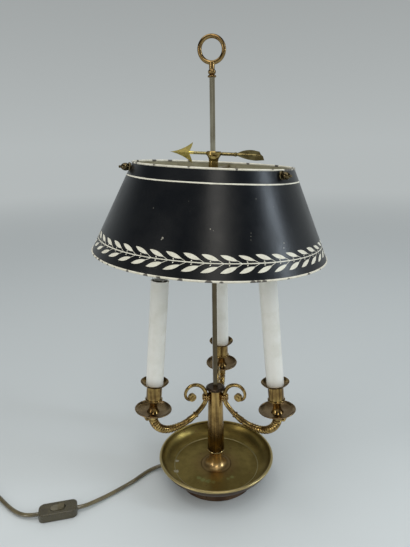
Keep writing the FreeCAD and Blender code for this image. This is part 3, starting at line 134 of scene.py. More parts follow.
def mix_colours(tree, share, first, second):
    """A colour between two, each written as red, green and blue or taken from an output."""
    first, second = ((*side, 1.0) if isinstance(side, tuple) else side for side in (first, second))
    return mix_values(tree, share, first, second, "RGBA")


def mesh_object(name, form):
    """Turn finished mesh code into an object in the scene."""
    mesh = bpy.data.meshes.new(name)
    form.to_mesh(mesh)
    form.free()
    return link(bpy.data.objects.new(name, mesh))


pale_table = new_material("pale_table")
tree = pale_table.node_tree
to_back = ramp(tree, place_along(tree, "Y"), table_near_y, table_far_y)
board_colour = mix_colours(tree, to_back, table_near, table_far)
board = add_node(tree, "BsdfPrincipled", {"Base Color": board_colour, "Roughness": 0.55})
far_glow = add_node(tree, "Emission", {"Color": (*backdrop_low, 1.0)})
faded = ramp(tree, vector_maths(tree, "LENGTH", object_place(tree)), fade_start, fade_end)
board_or_glow = add_node(tree, "MixShader", {
    "Fac": faded, 1: board.outputs["BSDF"], 2: far_glow.outputs["Emission"]})
add_node(tree, "OutputMaterial", {"Surface": board_or_glow.outputs["Shader"]})
table_form = bmesh.new()
bmesh.ops.create_circle(table_form, cap_ends=True, segments=96, radius=table_radius)
table_top = mesh_object("table_top", table_form)
table_top.location.z = -table_drop
table_top.data.materials.append(pale_table)

# Studio: a pale grey backdrop, and behind the camera a darker room that is darkest high up and at the
# sides, as the brass shows it. A soft light overhead, a tall window right, lamps in front and left.
room_low, room_high = (0.34, 0.33, 0.30), (0.040, 0.040, 0.038)
fill_colour, light_level = (0.93, 0.97, 1.0), 0.65
backdrop_climb, horizon_climb, room_climb = (0.0, 0.30), (0.02, 0.12), (0.12, 0.50)
back_to_front, side_climb, side_reach = (-0.35, 0.45), (0.26, 0.50), (0.25, 0.65)
aim_height = 0.3

world = bpy.data.worlds.new("studio")
world.use_nodes = True
bpy.context.scene.world = world
tree = world.node_tree
tree.nodes.clear()
sky = add_node(tree, "SeparateXYZ", {"Vector": add_node(tree, "TexCoord").outputs["Generated"]}).outputs
up_backdrop = ramp(tree, sky["Z"], *backdrop_climb, shape="LINEAR")
backdrop = mix_colours(tree, up_backdrop, backdrop_low, backdrop_high)
above_floor = mix_colours(tree, ramp(tree, sky["Z"], *horizon_climb), backdrop_low, room_low)
room = mix_colours(tree, ramp(tree, sky["Z"], *room_climb), above_floor, room_high)
all_round = mix_colours(tree, ramp(tree, sky["Y"], *back_to_front), room, backdrop)
to_side = ramp(tree, maths(tree, "ABSOLUTE", sky["X"]), *side_reach)
high_side = maths(tree, "MULTIPLY", ramp(tree, sky["Z"], *side_climb), to_side)
seen = add_node(tree, "Background", {"Color": mix_colours(tree, high_side, all_round, room_high)})
lit = add_node(tree, "Background", {"Color": (*fill_colour, 1.0), "Strength": light_level})
ray = add_node(tree, "LightPath").outputs
camera_or_glossy = maths(tree, "MAXIMUM", ray["Is Camera Ray"], ray["Is Glossy Ray"])
shown = maths(tree, "MAXIMUM", camera_or_glossy, ray["Is Transmission Ray"])
seen_or_lit = add_node(tree, "MixShader", {
    "Fac": shown, 1: lit.outputs["Background"], 2: seen.outputs["Background"]})
add_node(tree, "OutputWorld", {"Surface": seen_or_lit.outputs["Shader"]})


def soft_light(name, place, size, power, colour=(1.0, 1.0, 1.0)):
    """An area light that faces the middle of the lamp."""
    data = bpy.data.lights.new(name, "AREA")
    data.shape = "RECTANGLE"
    data.size, data.size_y = size
    data.energy = power
    data.color = colour
    light = link(bpy.data.objects.new(name, data))
    light.location = place
    aim = Vector((0.0, 0.0, aim_height)) - Vector(place)
    light.rotation_euler = aim.to_track_quat("-Z", "Y").to_euler()


soft_light("ceiling_softbox", (-0.2, -0.35, 2.4), (2.2, 1.4), 17.0)
soft_light("window", (2.38, -0.50, 1.40), (0.30, 1.4), 18.0, (0.78, 0.89, 1.0))
soft_light("front_lamp", (0.35, -2.0, 1.95), (0.45, 1.2), 7.5, (1.0, 0.96, 0.88))
soft_light("left_lamp", (-1.95, -1.55, 0.85), (0.40, 1.3), 6.8, (1.0, 0.98, 0.94))

# Lead: round gold-brown flex in two runs. The first goes from the gland in the foot to the in-line
# switch, the second from the switch to the coil put away beside the lamp, and on to the plug.
lead_diameter = 0.006
first_route = [
    (-0.06303, 0.01111, 0.009), (-0.07879, 0.01389, 0.009), (-0.095, 0.0132, 0.0044),
    (-0.1095, 0.0055, 0.003), (-0.121, -0.0075, 0.003), (-0.133, -0.022, 0.003),
    (-0.149, -0.037, 0.003), (-0.1658, -0.052, 0.0032), (-0.1809, -0.0651, 0.0046),
    (-0.19390, -0.07605, 0.00625), (-0.20360, -0.07847, 0.00625)]
second_route = [
    (-0.25600, -0.09153, 0.00625), (-0.26570, -0.09395, 0.00625), (-0.2804, -0.0908, 0.0044),
    (-0.2954, -0.0828, 0.0032), (-0.3114, -0.0708, 0.003), (-0.328, -0.0564, 0.003),
    (-0.34455, -0.04329, 0.003), (-0.35655, -0.03609, 0.003)]
coil_middle = Vector((-0.38546, -0.07262, 0.003))
coil_ahead = Vector((-0.85758, 0.51435, 0.0))
coil_side = Vector((0.51435, 0.85758, 0.0))
coil_reach, coil_step, coil_turns = 0.0462, 0.0037, 7
coil_reaches = [coil_reach - coil_step * k for k in range(coil_turns)]
coil_lift = Vector((0.0, 0.0, 0.0067))
points_per_half_turn = 8
plug_route = [(0.018, 0.0, 0.0097), (0.034, 0.001, 0.0083), (0.050, 0.0036, 0.00685),
              (0.062, 0.0067, 0.00685)]

layers = [(reach, 0) for reach in coil_reaches] + [(reach, 1) for reach in reversed(coil_reaches)]
widen = 1 / math.cos(math.pi / (2 * points_per_half_turn))
here, way = coil_middle + coil_side * coil_reaches[0], 1
for reach, layer in layers[1:]:
    there = coil_middle - coil_side * (way * reach) + coil_lift * layer
    centre = (here + there) / 2
    out = here - centre
    forward_out = coil_ahead * (way * Vector((out.x, out.y, 0.0)).length)
    for k in range(points_per_half_turn):
        angle = math.pi * (k + 0.5) / points_per_half_turn
        second_route.append(tuple(centre + (out * math.cos(angle) + forward_out * math.sin(angle)) * widen))
    here, way = there, -way
coil_end = here
for along, aside, height in plug_route:
    step = coil_end - coil_ahead * along - coil_side * aside
    second_route.append((step.x, step.y, height))


def lead_curve(name, route):
    """A smooth round flex whose control points are the lead's own route."""
    curve = bpy.data.curves.new(name, "CURVE")
    curve.dimensions = "3D"
    curve.bevel_depth = lead_diameter / 2
    curve.bevel_resolution = 5
    curve.resolution_u = 8
    spline = curve.splines.new("NURBS")
    spline.points.add(len(route) - 1)
    for point, at in zip(spline.points, route):
        point.co = (*at, 1.0)
    spline.order_u = 3
    spline.use_endpoint_u = True
    return link(bpy.data.objects.new(name, curve))


# The effect of wear that many finishes share: broad patches, fine mottling and a few small spots,
# mixed from three colours, with the roughness and the height that go with them.
def new_group(name, inputs, outputs):
    """An empty node group with named sockets. Gives the group, what comes in and what goes out."""
    group = bpy.data.node_groups.new(name, "ShaderNodeTree")
    for label, kind, value in inputs:
        socket = group.interface.new_socket(label, in_out="INPUT", socket_type="NodeSocket" + kind)
        socket.default_value = value
    for label, kind in outputs:
        group.interface.new_socket(label, in_out="OUTPUT", socket_type="NodeSocket" + kind)
    return group, group.nodes.new("NodeGroupInput").outputs, group.nodes.new("NodeGroupOutput").inputs


def build_wear_group():
    group, given, result = new_group(
        "wear", (("Clean", "Color", (0.8, 0.8, 0.8, 1)), ("Dull", "Color", (0.4, 0.4, 0.4, 1)),
                 ("Spot", "Color", (0.1, 0.1, 0.1, 1)), ("Patch Size", "Float", 40.0),
                 ("Dull Share", "Float", 0.5), ("Spot Share", "Float", 0.1), ("Smooth", "Float", 0.25),
                 ("Rough", "Float", 0.5)),
        (("Color", "Color"), ("Roughness", "Float"), ("Height", "Float")))
    place = object_place(group)

    def noise(fineness, detail, roughness):
        scale = maths(group, "MULTIPLY", given["Patch Size"], fineness)
        values = {"Vector": place, "Scale": scale, "Detail": detail, "Roughness": roughness}
        return add_node(group, "TexNoise", values).outputs["Fac"]

    def spread(value, share, softness):
        """From 0 to 1 where the noise lies above what leaves this share of the surface."""
        level = ramp(group, share, 0.0, 1.0, low=0.72, high=0.28, shape="LINEAR")
        return ramp(group, maths(group, "SUBTRACT", value, level), -softness, softness)

    broad, fine, grain = noise(1.0, 5.0, 0.62), noise(5.5, 4.0, 0.7), noise(22.0, 3.0, 0.6)
    patches = spread(broad, given["Dull Share"], 0.16)
    spots = spread(fine, given["Spot Share"], 0.035)
    mottled = maths(group, "MULTIPLY_ADD", maths(group, "SUBTRACT", fine, 0.5), 0.5, patches, clamp=True)
    body = mix_colours(group, mottled, given["Clean"], given["Dull"])
    gloss = mix_values(group, mottled, given["Smooth"], given["Rough"])
    group.links.new(mix_colours(group, spots, body, given["Spot"]), result["Color"])
    group.links.new(gloss, result["Roughness"])
    group.links.new(maths(group, "MULTIPLY_ADD", grain, 0.35, fine), result["Height"])
    return group


wear_group = build_wear_group()


def add_wear(tree, colours, patch_size, dull_share, spot_share, smooth, rough):
    """The wear effect with one finish's own values. Patch size counts patches per metre."""
    clean, dull, spot = ((*colour, 1.0) for colour in colours)
    values = {"Clean": clean, "Dull": dull, "Spot": spot, "Patch Size": patch_size,
              "Dull Share": dull_share, "Spot Share": spot_share, "Smooth": smooth, "Rough": rough}
    return add_node(tree, "Group", values, node_tree=wear_group).outputs


def worn(name, clean, dull, spot, patch_size, dull_share, spot_share, smooth, rough,
         metallic=0.0, grain_depth=0.02, coat=0.0, specular=0.5):
    """A finish made from the wear effect: three colours, two roughnesses and the grain's depth in mm."""
    material = new_material(name)
    tree = material.node_tree
    effect = add_wear(tree, (clean, dull, spot), patch_size, dull_share, spot_share, smooth, rough)
    grain = add_node(tree, "Bump", {"Height": effect["Height"], "Distance": grain_depth * 0.001})
    shader = add_node(tree, "BsdfPrincipled", {
        "Base Color": effect["Color"], "Roughness": effect["Roughness"], "Normal": grain.outputs["Normal"],
        "Metallic": metallic, "Coat Weight": coat, "Coat Roughness": smooth * 0.6,
        "Specular IOR Level": specular})
    add_node(tree, "OutputMaterial", {"Surface": shader.outputs["BSDF"]})
    return material


def shader_of(material):
    return next(node for node in material.node_tree.nodes if node.type == "BSDF_PRINCIPLED")


def dress(material, slot_name, *names):
    """Give CAD nodes one finish. The slot name is not used."""
    for name in names:
        nodes[name].data.materials.clear()
        nodes[name].data.materials.append(material)


lead_cover = worn("gold_flex", (0.15, 0.122, 0.062), (0.085, 0.068, 0.036), (0.05, 0.038, 0.026),
                  patch_size=55, dull_share=0.5, spot_share=0.1, smooth=0.16, rough=0.28,
                  grain_depth=0.015, coat=0.8)
first_lead = lead_curve("lead_to_switch", first_route)
second_lead = lead_curve("lead_to_plug", second_route)
for lead, cad_nodes in ((first_lead, ["cord_base_run"]),
                        (second_lead, ["cord_switch_run", "cord_coil", "cord_plug_run"])):
    lead.data.materials.append(lead_cover)
    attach(lead, "lamp")
    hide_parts(*cad_nodes)
dress(lead_cover, "cord_cover", "lead_tail", "cord_base_run", "cord_switch_run", "cord_coil",
      "cord_plug_run", "switch_lead_ends")

# Foot: spun brass skirt, reddish brown and painted dark for the shade under the dish, on a green felt
# pad. Inside it an iron weight is drawn up against the dish by a nut on the threaded tube.
# The foot's brass is painted dark for the shade under the dish.
foot_brass_shaded = worn("foot_brass_shaded", (0.19, 0.115, 0.070), (0.11, 0.062, 0.038), (0.055, 0.032, 0.022),
                  patch_size=32, dull_share=0.55, spot_share=0.16, smooth=0.24, rough=0.4, metallic=0.9,
                  grain_depth=0.02)
felt = worn("green_felt", (0.10, 0.18, 0.12), (0.06, 0.11, 0.075), (0.03, 0.05, 0.035), patch_size=900,
            dull_share=0.5, spot_share=0.25, smooth=0.9, rough=1.0, grain_depth=0.3, specular=0.1)
iron = worn("cast_iron", (0.12, 0.12, 0.12), (0.07, 0.068, 0.065), (0.12, 0.06, 0.03), patch_size=120,
            dull_share=0.5, spot_share=0.12, smooth=0.55, rough=0.8, metallic=0.7, grain_depth=0.15)
steel = worn("zinc_steel", (0.55, 0.55, 0.55), (0.42, 0.42, 0.43), (0.25, 0.22, 0.18), patch_size=150,
             dull_share=0.4, spot_share=0.06, smooth=0.3, rough=0.5, metallic=1.0, grain_depth=0.02)
plain_brass = worn("hidden_brass", (0.62, 0.48, 0.24), (0.48, 0.34, 0.15), (0.26, 0.17, 0.08),
                   patch_size=120, dull_share=0.45, spot_share=0.08, smooth=0.25, rough=0.45,
                   metallic=1.0, grain_depth=0.02)
dress(foot_brass_shaded, "dark_brass", "foot_ring")
dress(felt, "felt", "felt_pad")
dress(iron, "iron", "base_weight")
dress(steel, "steel", "base_nut", "base_washer")
dress(plain_brass, "plain_brass", "tie_tube")

# Gland and strain relief: a black moulded collar in the foot's back wall, and a ribbed sleeve that
# tapers along the lead so that it never bends sharply where it leaves the metal.
relief_length, relief_ribs, rib_steps = 0.022, 7, 4
relief_thick, relief_thin, rib_depth = 0.0043, 0.0033, 0.0003
lead_direction = (Vector(first_route[1]) - Vector(first_route[0])).normalized()


def lathe(name, profile, axis, start, steps=32):
    """A mesh turned round an axis from (distance along it, radius) pairs."""
    across = axis.orthogonal().normalized()
    third = axis.cross(across)
    form = bmesh.new()
    rings = []
    for along, radius in profile:
        middle = start + axis * along
        rings.append([form.verts.new(middle + (across * math.cos(a) + third * math.sin(a)) * radius)
                      for a in (2 * math.pi * k / steps for k in range(steps))])
    for low, high in zip(rings, rings[1:]):
        for k in range(steps):
            form.faces.new((low[k], low[(k + 1) % steps], high[(k + 1) % steps], high[k]))
    form.faces.new(reversed(rings[0]))
    form.faces.new(rings[-1])
    for face in form.faces:
        face.smooth = len(face.verts) == 4
    bmesh.ops.recalc_face_normals(form, faces=form.faces)
    return mesh_object(name, form)


relief_profile = []
for k in range(relief_ribs * rib_steps + 1):
    share = k / (relief_ribs * rib_steps)
    rib = rib_depth * (0.5 + 0.5 * math.cos(2 * math.pi * k / rib_steps)) * (1 - share)
    taper = relief_thick + (relief_thin - relief_thick) * share
    relief_profile.append((relief_length * share, taper + rib))
relief = lathe("strain_relief", relief_profile, lead_direction, Vector(first_route[0]))
black_rubber = worn("black_rubber", (0.045, 0.04, 0.036), (0.028, 0.025, 0.023), (0.12, 0.11, 0.10),
                    patch_size=140, dull_share=0.5, spot_share=0.06, smooth=0.45, rough=0.7,
                    grain_depth=0.03)
relief.data.materials.append(black_rubber)
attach(relief, "lamp")
dress(black_rubber, "dark_plastic", "cord_gland")

# Wiring inside: the lead's tail ends in a white screw terminal block in the foot's hollow, and thin
# covered wires run from there up the tube and through the arms to the three lamp holders.
terminal_white = worn("terminal_plastic", (0.80, 0.79, 0.75), (0.72, 0.70, 0.64), (0.5, 0.46, 0.4),
                      patch_size=160, dull_share=0.4, spot_share=0.05, smooth=0.35, rough=0.5)
dress(terminal_white, "terminal_plastic", "terminal_block")
wire_cover = worn("wire_cover", (0.45, 0.40, 0.32), (0.36, 0.31, 0.24), (0.22, 0.19, 0.15),
                  patch_size=300, dull_share=0.45, spot_share=0.08, smooth=0.4, rough=0.6)
dress(wire_cover, "wire_cover", "lead_wires", "arm_wires")

# Dish: spun brass tray, olive-gold from age, with reddish stains round the boss, one patch of green
# corrosion, and the fine rings that spinning leaves. Painted on it: two pale highlights on the left
# wall, a pale highlight line on the ridge and the rim, and shade on the outside that faces down.
dish_clean, dish_dull, dish_stain = (0.29, 0.215, 0.062), (0.20, 0.147, 0.040), (0.18, 0.090, 0.040)
underside_shade, ridge_highlight = (0.048, 0.026, 0.016), (0.50, 0.43, 0.22)
corrosion_colour, glint_colour = (0.33, 0.36, 0.13), (0.60, 0.55, 0.42)
dish_floor_height, ridge_radius = 0.0211, 0.0664
ridge_half_width = 0.0008
stain_outer, stain_inner = 0.045, 0.020
rim_start, rim_soft, rim_highlight = 0.0866, 0.0008, (0.62, 0.50, 0.24)
top_facing, under_facing = 0.05, -0.25
tear_fineness, tear_reach = 320.0, 2.4
corrosion_places = [(-0.0265, -0.0350, 0.0048), (-0.0200, -0.0390, 0.0052), (-0.0120, -0.0420, 0.0056),
                    (-0.0040, -0.0440, 0.0046), (0.0240, -0.0330, 0.0044), (0.0180, -0.0370, 0.0036)]
corrosion_spots = [((x, y, dish_floor_height), radius) for x, y, radius in corrosion_places]
dish_glints = [((-0.0640, 0.0050, 0.0213), 0.0042), ((-0.0626, -0.0200, 0.0213), 0.0046)]


def build_turning_group():
    """Fine rings round an upright axis, as a height, and the distance from the axis."""
    group, given, result = new_group(
        "turning_marks", (("Axis", "Vector", (0, 0, 0)), ("Rings per Metre", "Float", 1200.0)),
        (("Height", "Float"), ("Radius", "Float")))
    from_axis = vector_maths(group, "SUBTRACT", object_place(group), given["Axis"])
    radius = vector_maths(group, "LENGTH", vector_maths(group, "MULTIPLY", from_axis, (1.0, 1.0, 0.0)))
    count = maths(group, "MULTIPLY", radius, given["Rings per Metre"])
    rings = add_node(group, "TexNoise", {"W": count, "Scale": 1.0, "Detail": 2.0}, noise_dimensions="1D")
    group.links.new(rings.outputs["Fac"], result["Height"])
    group.links.new(radius, result["Radius"])
    return group


turning_group = build_turning_group()


def add_rings(material, axis, rings_per_metre, depth):
    """Put turning marks over a finish's grain, this many mm deep. Gives the distance from the axis."""
    tree = material.node_tree
    grain = next(node for node in tree.nodes if node.type == "BUMP")
    values = {"Axis": axis, "Rings per Metre": rings_per_metre}
    marks = add_node(tree, "Group", values, node_tree=turning_group).outputs
    rings = add_node(tree, "Bump", {"Height": marks["Height"], "Normal": grain.outputs["Normal"],
                                    "Distance": depth * 0.001})
    tree.links.new(rings.outputs["Normal"], shader_of(material).inputs["Normal"])
    return marks["Radius"]


def near_points(material, points, softness):
    """A mask that is 1 inside any of some round spots, each (place, radius), with torn edges."""
    tree = material.node_tree
    place = object_place(tree)
    shake = add_node(tree, "TexNoise", {"Vector": place, "Scale": tear_fineness, "Detail": 4.0})
    reach = Vector((1.0, 1.0, 1.0)) * (softness * tear_reach)
    ragged = vector_maths(tree, "MULTIPLY_ADD", shake.outputs["Color"], reach, place)
    inside = None
    for middle, radius in points:
        away = vector_maths(tree, "DISTANCE", ragged, Vector(middle) + reach / 2)
        spot = ramp(tree, away, radius, radius - softness)
        inside = spot if inside is None else maths(tree, "MAXIMUM", inside, spot)
    return inside


def tint_where(material, mask, colour, amount):
    """Lay a colour over a finish's base colour where a mask says."""
    tree, base = material.node_tree, shader_of(material).inputs["Base Color"]
    share = maths(tree, "MULTIPLY", mask, amount)
    tree.links.new(mix_colours(tree, share, base.links[0].from_socket, colour), base)


dish_brass = worn("dish_brass", dish_clean, dish_dull, dish_stain, patch_size=26, dull_share=0.5,
                  spot_share=0.16, smooth=0.30, rough=0.44, metallic=0.96, grain_depth=0.02)
tree = dish_brass.node_tree
from_axis = add_rings(dish_brass, (0.0, 0.0, 0.0), rings_per_metre=1500.0, depth=0.012)
on_ridge = maths(tree, "COMPARE", from_axis, ridge_radius, ridge_half_width)
on_rim = ramp(tree, from_axis, rim_start, rim_start + rim_soft, shape="LINEAR")
surface_way = add_node(tree, "NewGeometry").outputs["True Normal"]
surface_up = add_node(tree, "SeparateXYZ", {"Vector": surface_way}).outputs["Z"]
shaded_underside = ramp(tree, surface_up, top_facing, under_facing, shape="LINEAR")
tint_where(dish_brass, ramp(tree, from_axis, stain_outer, stain_inner), dish_stain, 0.45)
tint_where(dish_brass, near_points(dish_brass, corrosion_spots, softness=0.0028), corrosion_colour, 0.6)
# Painted highlights: two pale glints on the dish's left wall.
tint_where(dish_brass, near_points(dish_brass, dish_glints, softness=0.0022), glint_colour, 0.8)
# Painted highlights: a pale line along the ridge between floor and wall, and the rim's bead pale all round.
tint_where(dish_brass, on_ridge, ridge_highlight, 0.65)
tint_where(dish_brass, on_rim, rim_highlight, 0.8)
# Painted shade: the outside that faces down goes dark brown, and loses metal shine and specular there, so it
# shows no reflection.
tint_where(dish_brass, shaded_underside, underside_shade, 0.95)
for socket, above, below in (("Metallic", 0.96, 0.35), ("Specular IOR Level", 0.5, 0.2)):
    amount = ramp(tree, shaded_underside, 0.0, 1.0, low=above, high=below, shape="LINEAR")
    tree.links.new(amount, shader_of(dish_brass).inputs[socket])
dress(dish_brass, "aged_brass", "base_dish")

# Boss, ferrule and column: turned brass parts threaded on the tie tube, under a domed cap that has
# gone almost black. The column darkens towards the bottom, with dark streaks that are partly tarnish
# and partly painted reflection; the boss is painted brighter, partly paler metal, partly painted sheen.
column_dark, boss_skirt_colour = (0.075, 0.040, 0.016), (0.24, 0.16, 0.065)
column_dark_low, column_dark_high = 0.050, 0.135
skirt_inner, skirt_outer = 0.0130, 0.0195
streak_squeeze, streak_start, streak_full = 0.03, 0.44, 0.60


def add_streaks(material, streaks_per_metre, colour, amount):
    """Dark streaks drawn out lengthwise, up and down a piece: partly tarnish, partly painted reflection."""
    tree = material.node_tree
    drawn_out = add_node(tree, "Mapping", {"Vector": object_place(tree), "Scale": (1.0, 1.0, streak_squeeze)})
    streaks = add_node(tree, "TexNoise", {"Vector": drawn_out.outputs["Vector"], "Scale": streaks_per_metre,
                                          "Detail": 3.0})
    tint_where(material, ramp(tree, streaks.outputs["Fac"], streak_start, streak_full), colour, amount)


def tint_below(material, high, low, colour, amount):
    """Let a colour come in gradually from one height down to another."""
    tree = material.node_tree
    tint_where(material, ramp(tree, place_along(tree, "Z"), high, low, shape="LINEAR"), colour, amount)


# The boss is painted brighter than the other brass, partly its own paler metal and partly painted sheen.
boss_brass = worn("boss_brass", (0.88, 0.60, 0.26), (0.62, 0.38, 0.15), (0.26, 0.13, 0.05), patch_size=45,
                  dull_share=0.4, spot_share=0.08, smooth=0.33, rough=0.42, metallic=1.0,
                  grain_depth=0.008)
boss_from_axis = add_rings(boss_brass, (0.0, 0.0, 0.0), rings_per_metre=2600.0, depth=0.010)
boss_skirt = ramp(boss_brass.node_tree, boss_from_axis, skirt_inner, skirt_outer)
tint_where(boss_brass, boss_skirt, boss_skirt_colour, 0.95)
column_brass = worn("column_brass", (0.50, 0.33, 0.12), (0.32, 0.20, 0.07), (0.12, 0.06, 0.03),
                    patch_size=60, dull_share=0.5, spot_share=0.08, smooth=0.15, rough=0.28, metallic=1.0,
                    grain_depth=0.010)
ferrule_brass = worn("ferrule_brass", (0.56, 0.43, 0.20), (0.40, 0.28, 0.12), (0.16, 0.09, 0.04),
                     patch_size=90, dull_share=0.4, spot_share=0.08, smooth=0.15, rough=0.3, metallic=1.0,
                     grain_depth=0.01)
cap_brass = worn("cap_brass", (0.085, 0.055, 0.032), (0.045, 0.03, 0.02), (0.02, 0.015, 0.012),
                 patch_size=80, dull_share=0.5, spot_share=0.12, smooth=0.2, rough=0.36, metallic=0.85,
                 grain_depth=0.012)
# Darker towards the bottom of the column.
tint_below(column_brass, column_dark_high, column_dark_low, column_dark, 0.55)
# Dark streaks up and down, partly tarnish and partly painted reflection of the room.
add_streaks(column_brass, streaks_per_metre=330.0, colour=column_dark, amount=0.6)
dress(boss_brass, "aged_brass", "column_boss")
dress(ferrule_brass, "aged_brass", "column_ferrule")
dress(column_brass, "aged_brass", "column_tube")
dress(cap_brass, "dark_brass", "column_cap")
dress(plain_brass, "plain_brass", "arm_block")

# Rod and ring finial: a square brass rod that the shade rides on, pale brass, with painted shade
# darkening it within and below the shade, and a cast lifting ring pinned into its top.
rod_pale, rod_painted_shade, rod_tarnish_and_reflection = (0.46, 0.43, 0.33), (0.075, 0.052, 0.026), (0.14, 0.12, 0.08)
rod_shade_low, rod_shade_high = 0.34, 0.50
rod_brass = worn("rod_brass", rod_pale, (0.34, 0.31, 0.23), (0.30, 0.24, 0.15), patch_size=60,
                 dull_share=0.4, spot_share=0.04, smooth=0.16, rough=0.28, metallic=1.0,
                 grain_depth=0.008)
# Painted shade: the rod darkens from the shade's top rim down past its bottom rim.
tint_below(rod_brass, rod_shade_high, rod_shade_low, rod_painted_shade, 0.9)
# Dark streaks up and down the facets, partly tarnish and partly painted reflection.
add_streaks(rod_brass, streaks_per_metre=420.0, colour=rod_tarnish_and_reflection, amount=0.45)
finial_brass = worn("finial_brass", (0.34, 0.225, 0.09), (0.17, 0.105, 0.042), (0.10, 0.06, 0.03),
                    patch_size=90, dull_share=0.45, spot_share=0.08, smooth=0.12, rough=0.24,
                    metallic=1.0, grain_depth=0.008)
dress(rod_brass, "rod_brass", "square_rod")
dress(finial_brass, "aged_brass", "ring_finial")

# Candle arms: cast brass S-scrolls, mottled brown and rubbed golden, with the fine uneven skin of a
# casting. Each is bound to the column by a turned band and held by a steel set screw.
arm_brass = worn("arm_brass", (0.54, 0.38, 0.14), (0.19, 0.115, 0.040), (0.07, 0.04, 0.02),
                 patch_size=130, dull_share=0.5, spot_share=0.16, smooth=0.12, rough=0.26, metallic=1.0,
                 grain_depth=0.03)
band_brass = worn("band_brass", (0.40, 0.26, 0.10), (0.24, 0.145, 0.055), (0.09, 0.05, 0.025),
                  patch_size=130, dull_share=0.5, spot_share=0.12, smooth=0.16, rough=0.3, metallic=1.0,
                  grain_depth=0.015)
dress(arm_brass, "aged_brass", "arm_left", "arm_right", "arm_back")
dress(band_brass, "aged_brass", "binding_bands")
dress(steel, "steel", "arm_set_screws")

# Drip pans and cups: spun brass, the pans dark and brown with turning rings, the cups brighter, with
# dark streaks up and down the barrel, partly tarnish and partly painted reflection. A threaded stem
# and a lock nut hold each pan and cup.
cup_tarnish_and_reflection = (0.085, 0.048, 0.020)
pan_brass = worn("pan_brass", (0.34, 0.24, 0.125), (0.22, 0.145, 0.072), (0.08, 0.042, 0.022),
                 patch_size=60, dull_share=0.5, spot_share=0.12, smooth=0.22, rough=0.36, metallic=1.0,
                 grain_depth=0.012)
cup_brass = worn("cup_brass", (0.42, 0.285, 0.10), (0.23, 0.14, 0.05), (0.12, 0.065, 0.03), patch_size=80,
                 dull_share=0.45, spot_share=0.1, smooth=0.13, rough=0.25, metallic=1.0,
                 grain_depth=0.008)
for place in ("left", "right", "back"):
    low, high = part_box("drip_pan_" + place)
    pan_finish = pan_brass.copy()
    pan_finish.name = "pan_brass_" + place
    add_rings(pan_finish, tuple((low + high) / 2), rings_per_metre=1800.0, depth=0.03)
    dress(pan_finish, "dark_brass", "drip_pan_" + place)
# Dark streaks up and down the barrel, partly tarnish and partly painted reflection.
add_streaks(cup_brass, streaks_per_metre=260.0, colour=cup_tarnish_and_reflection, amount=0.72)
dress(cup_brass, "aged_brass", "candle_cup_left", "candle_cup_right", "candle_cup_back")
dress(plain_brass, "plain_brass", "candle_stems", "cup_lock_nuts")

# Candles: off-white card sleeves over brown bakelite lamp holders, each with a clear flame bulb
# hidden under the shade.
sleeve_card = worn("sleeve_card", (0.77, 0.755, 0.695), (0.70, 0.685, 0.61), (0.54, 0.51, 0.43),
                   patch_size=45, dull_share=0.35, spot_share=0.03, smooth=0.35, rough=0.55,
                   grain_depth=0.05)
holder_bakelite = worn("holder_bakelite", (0.06, 0.045, 0.04), (0.035, 0.027, 0.024), (0.15, 0.12, 0.1),
                       patch_size=120, dull_share=0.5, spot_share=0.04, smooth=0.2, rough=0.4)
cap_metal = worn("lamp_cap_metal", (0.70, 0.70, 0.70), (0.55, 0.54, 0.52), (0.35, 0.32, 0.28),
                 patch_size=150, dull_share=0.4, spot_share=0.06, smooth=0.25, rough=0.45, metallic=1.0)
bulb_glass = worn("bulb_glass", (0.97, 0.97, 0.96), (0.93, 0.93, 0.92), (0.85, 0.84, 0.82),
                  patch_size=120, dull_share=0.4, spot_share=0.03, smooth=0.02, rough=0.07,
                  grain_depth=0.004)
shader_of(bulb_glass).inputs["Transmission Weight"].default_value = 1.0
shader_of(bulb_glass).inputs["IOR"].default_value = 1.46
dress(sleeve_card, "sleeve_card", "candle_sleeve_left", "candle_sleeve_right", "candle_sleeve_back")
dress(holder_bakelite, "holder_plastic", "lamp_holders")
dress(cap_metal, "cap_metal", "bulb_caps")
dress(bulb_glass, "bulb_glass", "bulb_glasses")

# Shade: sheet steel cone painted satin black outside and olive-cream inside, with rims rolled over
# wire and painted cream. It rides on the rod and leans a little to the right as a whole.
carriage_height, carriage_lean = 0.4787, math.radians(3.28)
shade_low, shade_high = -0.1075, 0.0111
shade_low_radius, shade_high_radius = 0.1620, 0.1077
painted_face, inside_from = -0.00085, -0.00045
shade_slope = (shade_low_radius - shade_high_radius) / (shade_high - shade_low)
slant_per_height = math.hypot(1.0, shade_slope)
carriage = Matrix.Translation((0.0, 0.0, carriage_height)) @ Matrix.Rotation(carriage_lean, 4, "Y")
paint_grain_depth, paint_shine = 0.00006, 0.42
outside_colours = ((0.0018, 0.0030, 0.0050), (0.0030, 0.0042, 0.0058), (0.05, 0.045, 0.036))
inside_colours = ((0.37, 0.33, 0.215), (0.28, 0.245, 0.15), (0.12, 0.09, 0.06))


def radius_at(height):
    return shade_low_radius - shade_slope * (height - shade_low) + painted_face


def on_shade(angle, slant, proud=0.0):
    """A point on the cone: degrees from the front, to the right, and metres up its slope."""
    height = shade_low + slant / slant_per_height
    radius = radius_at(height) + proud
    turn = math.radians(angle)
    lift = proud * shade_slope
    return carriage @ Vector((radius * math.sin(turn), -radius * math.cos(turn), height + lift))


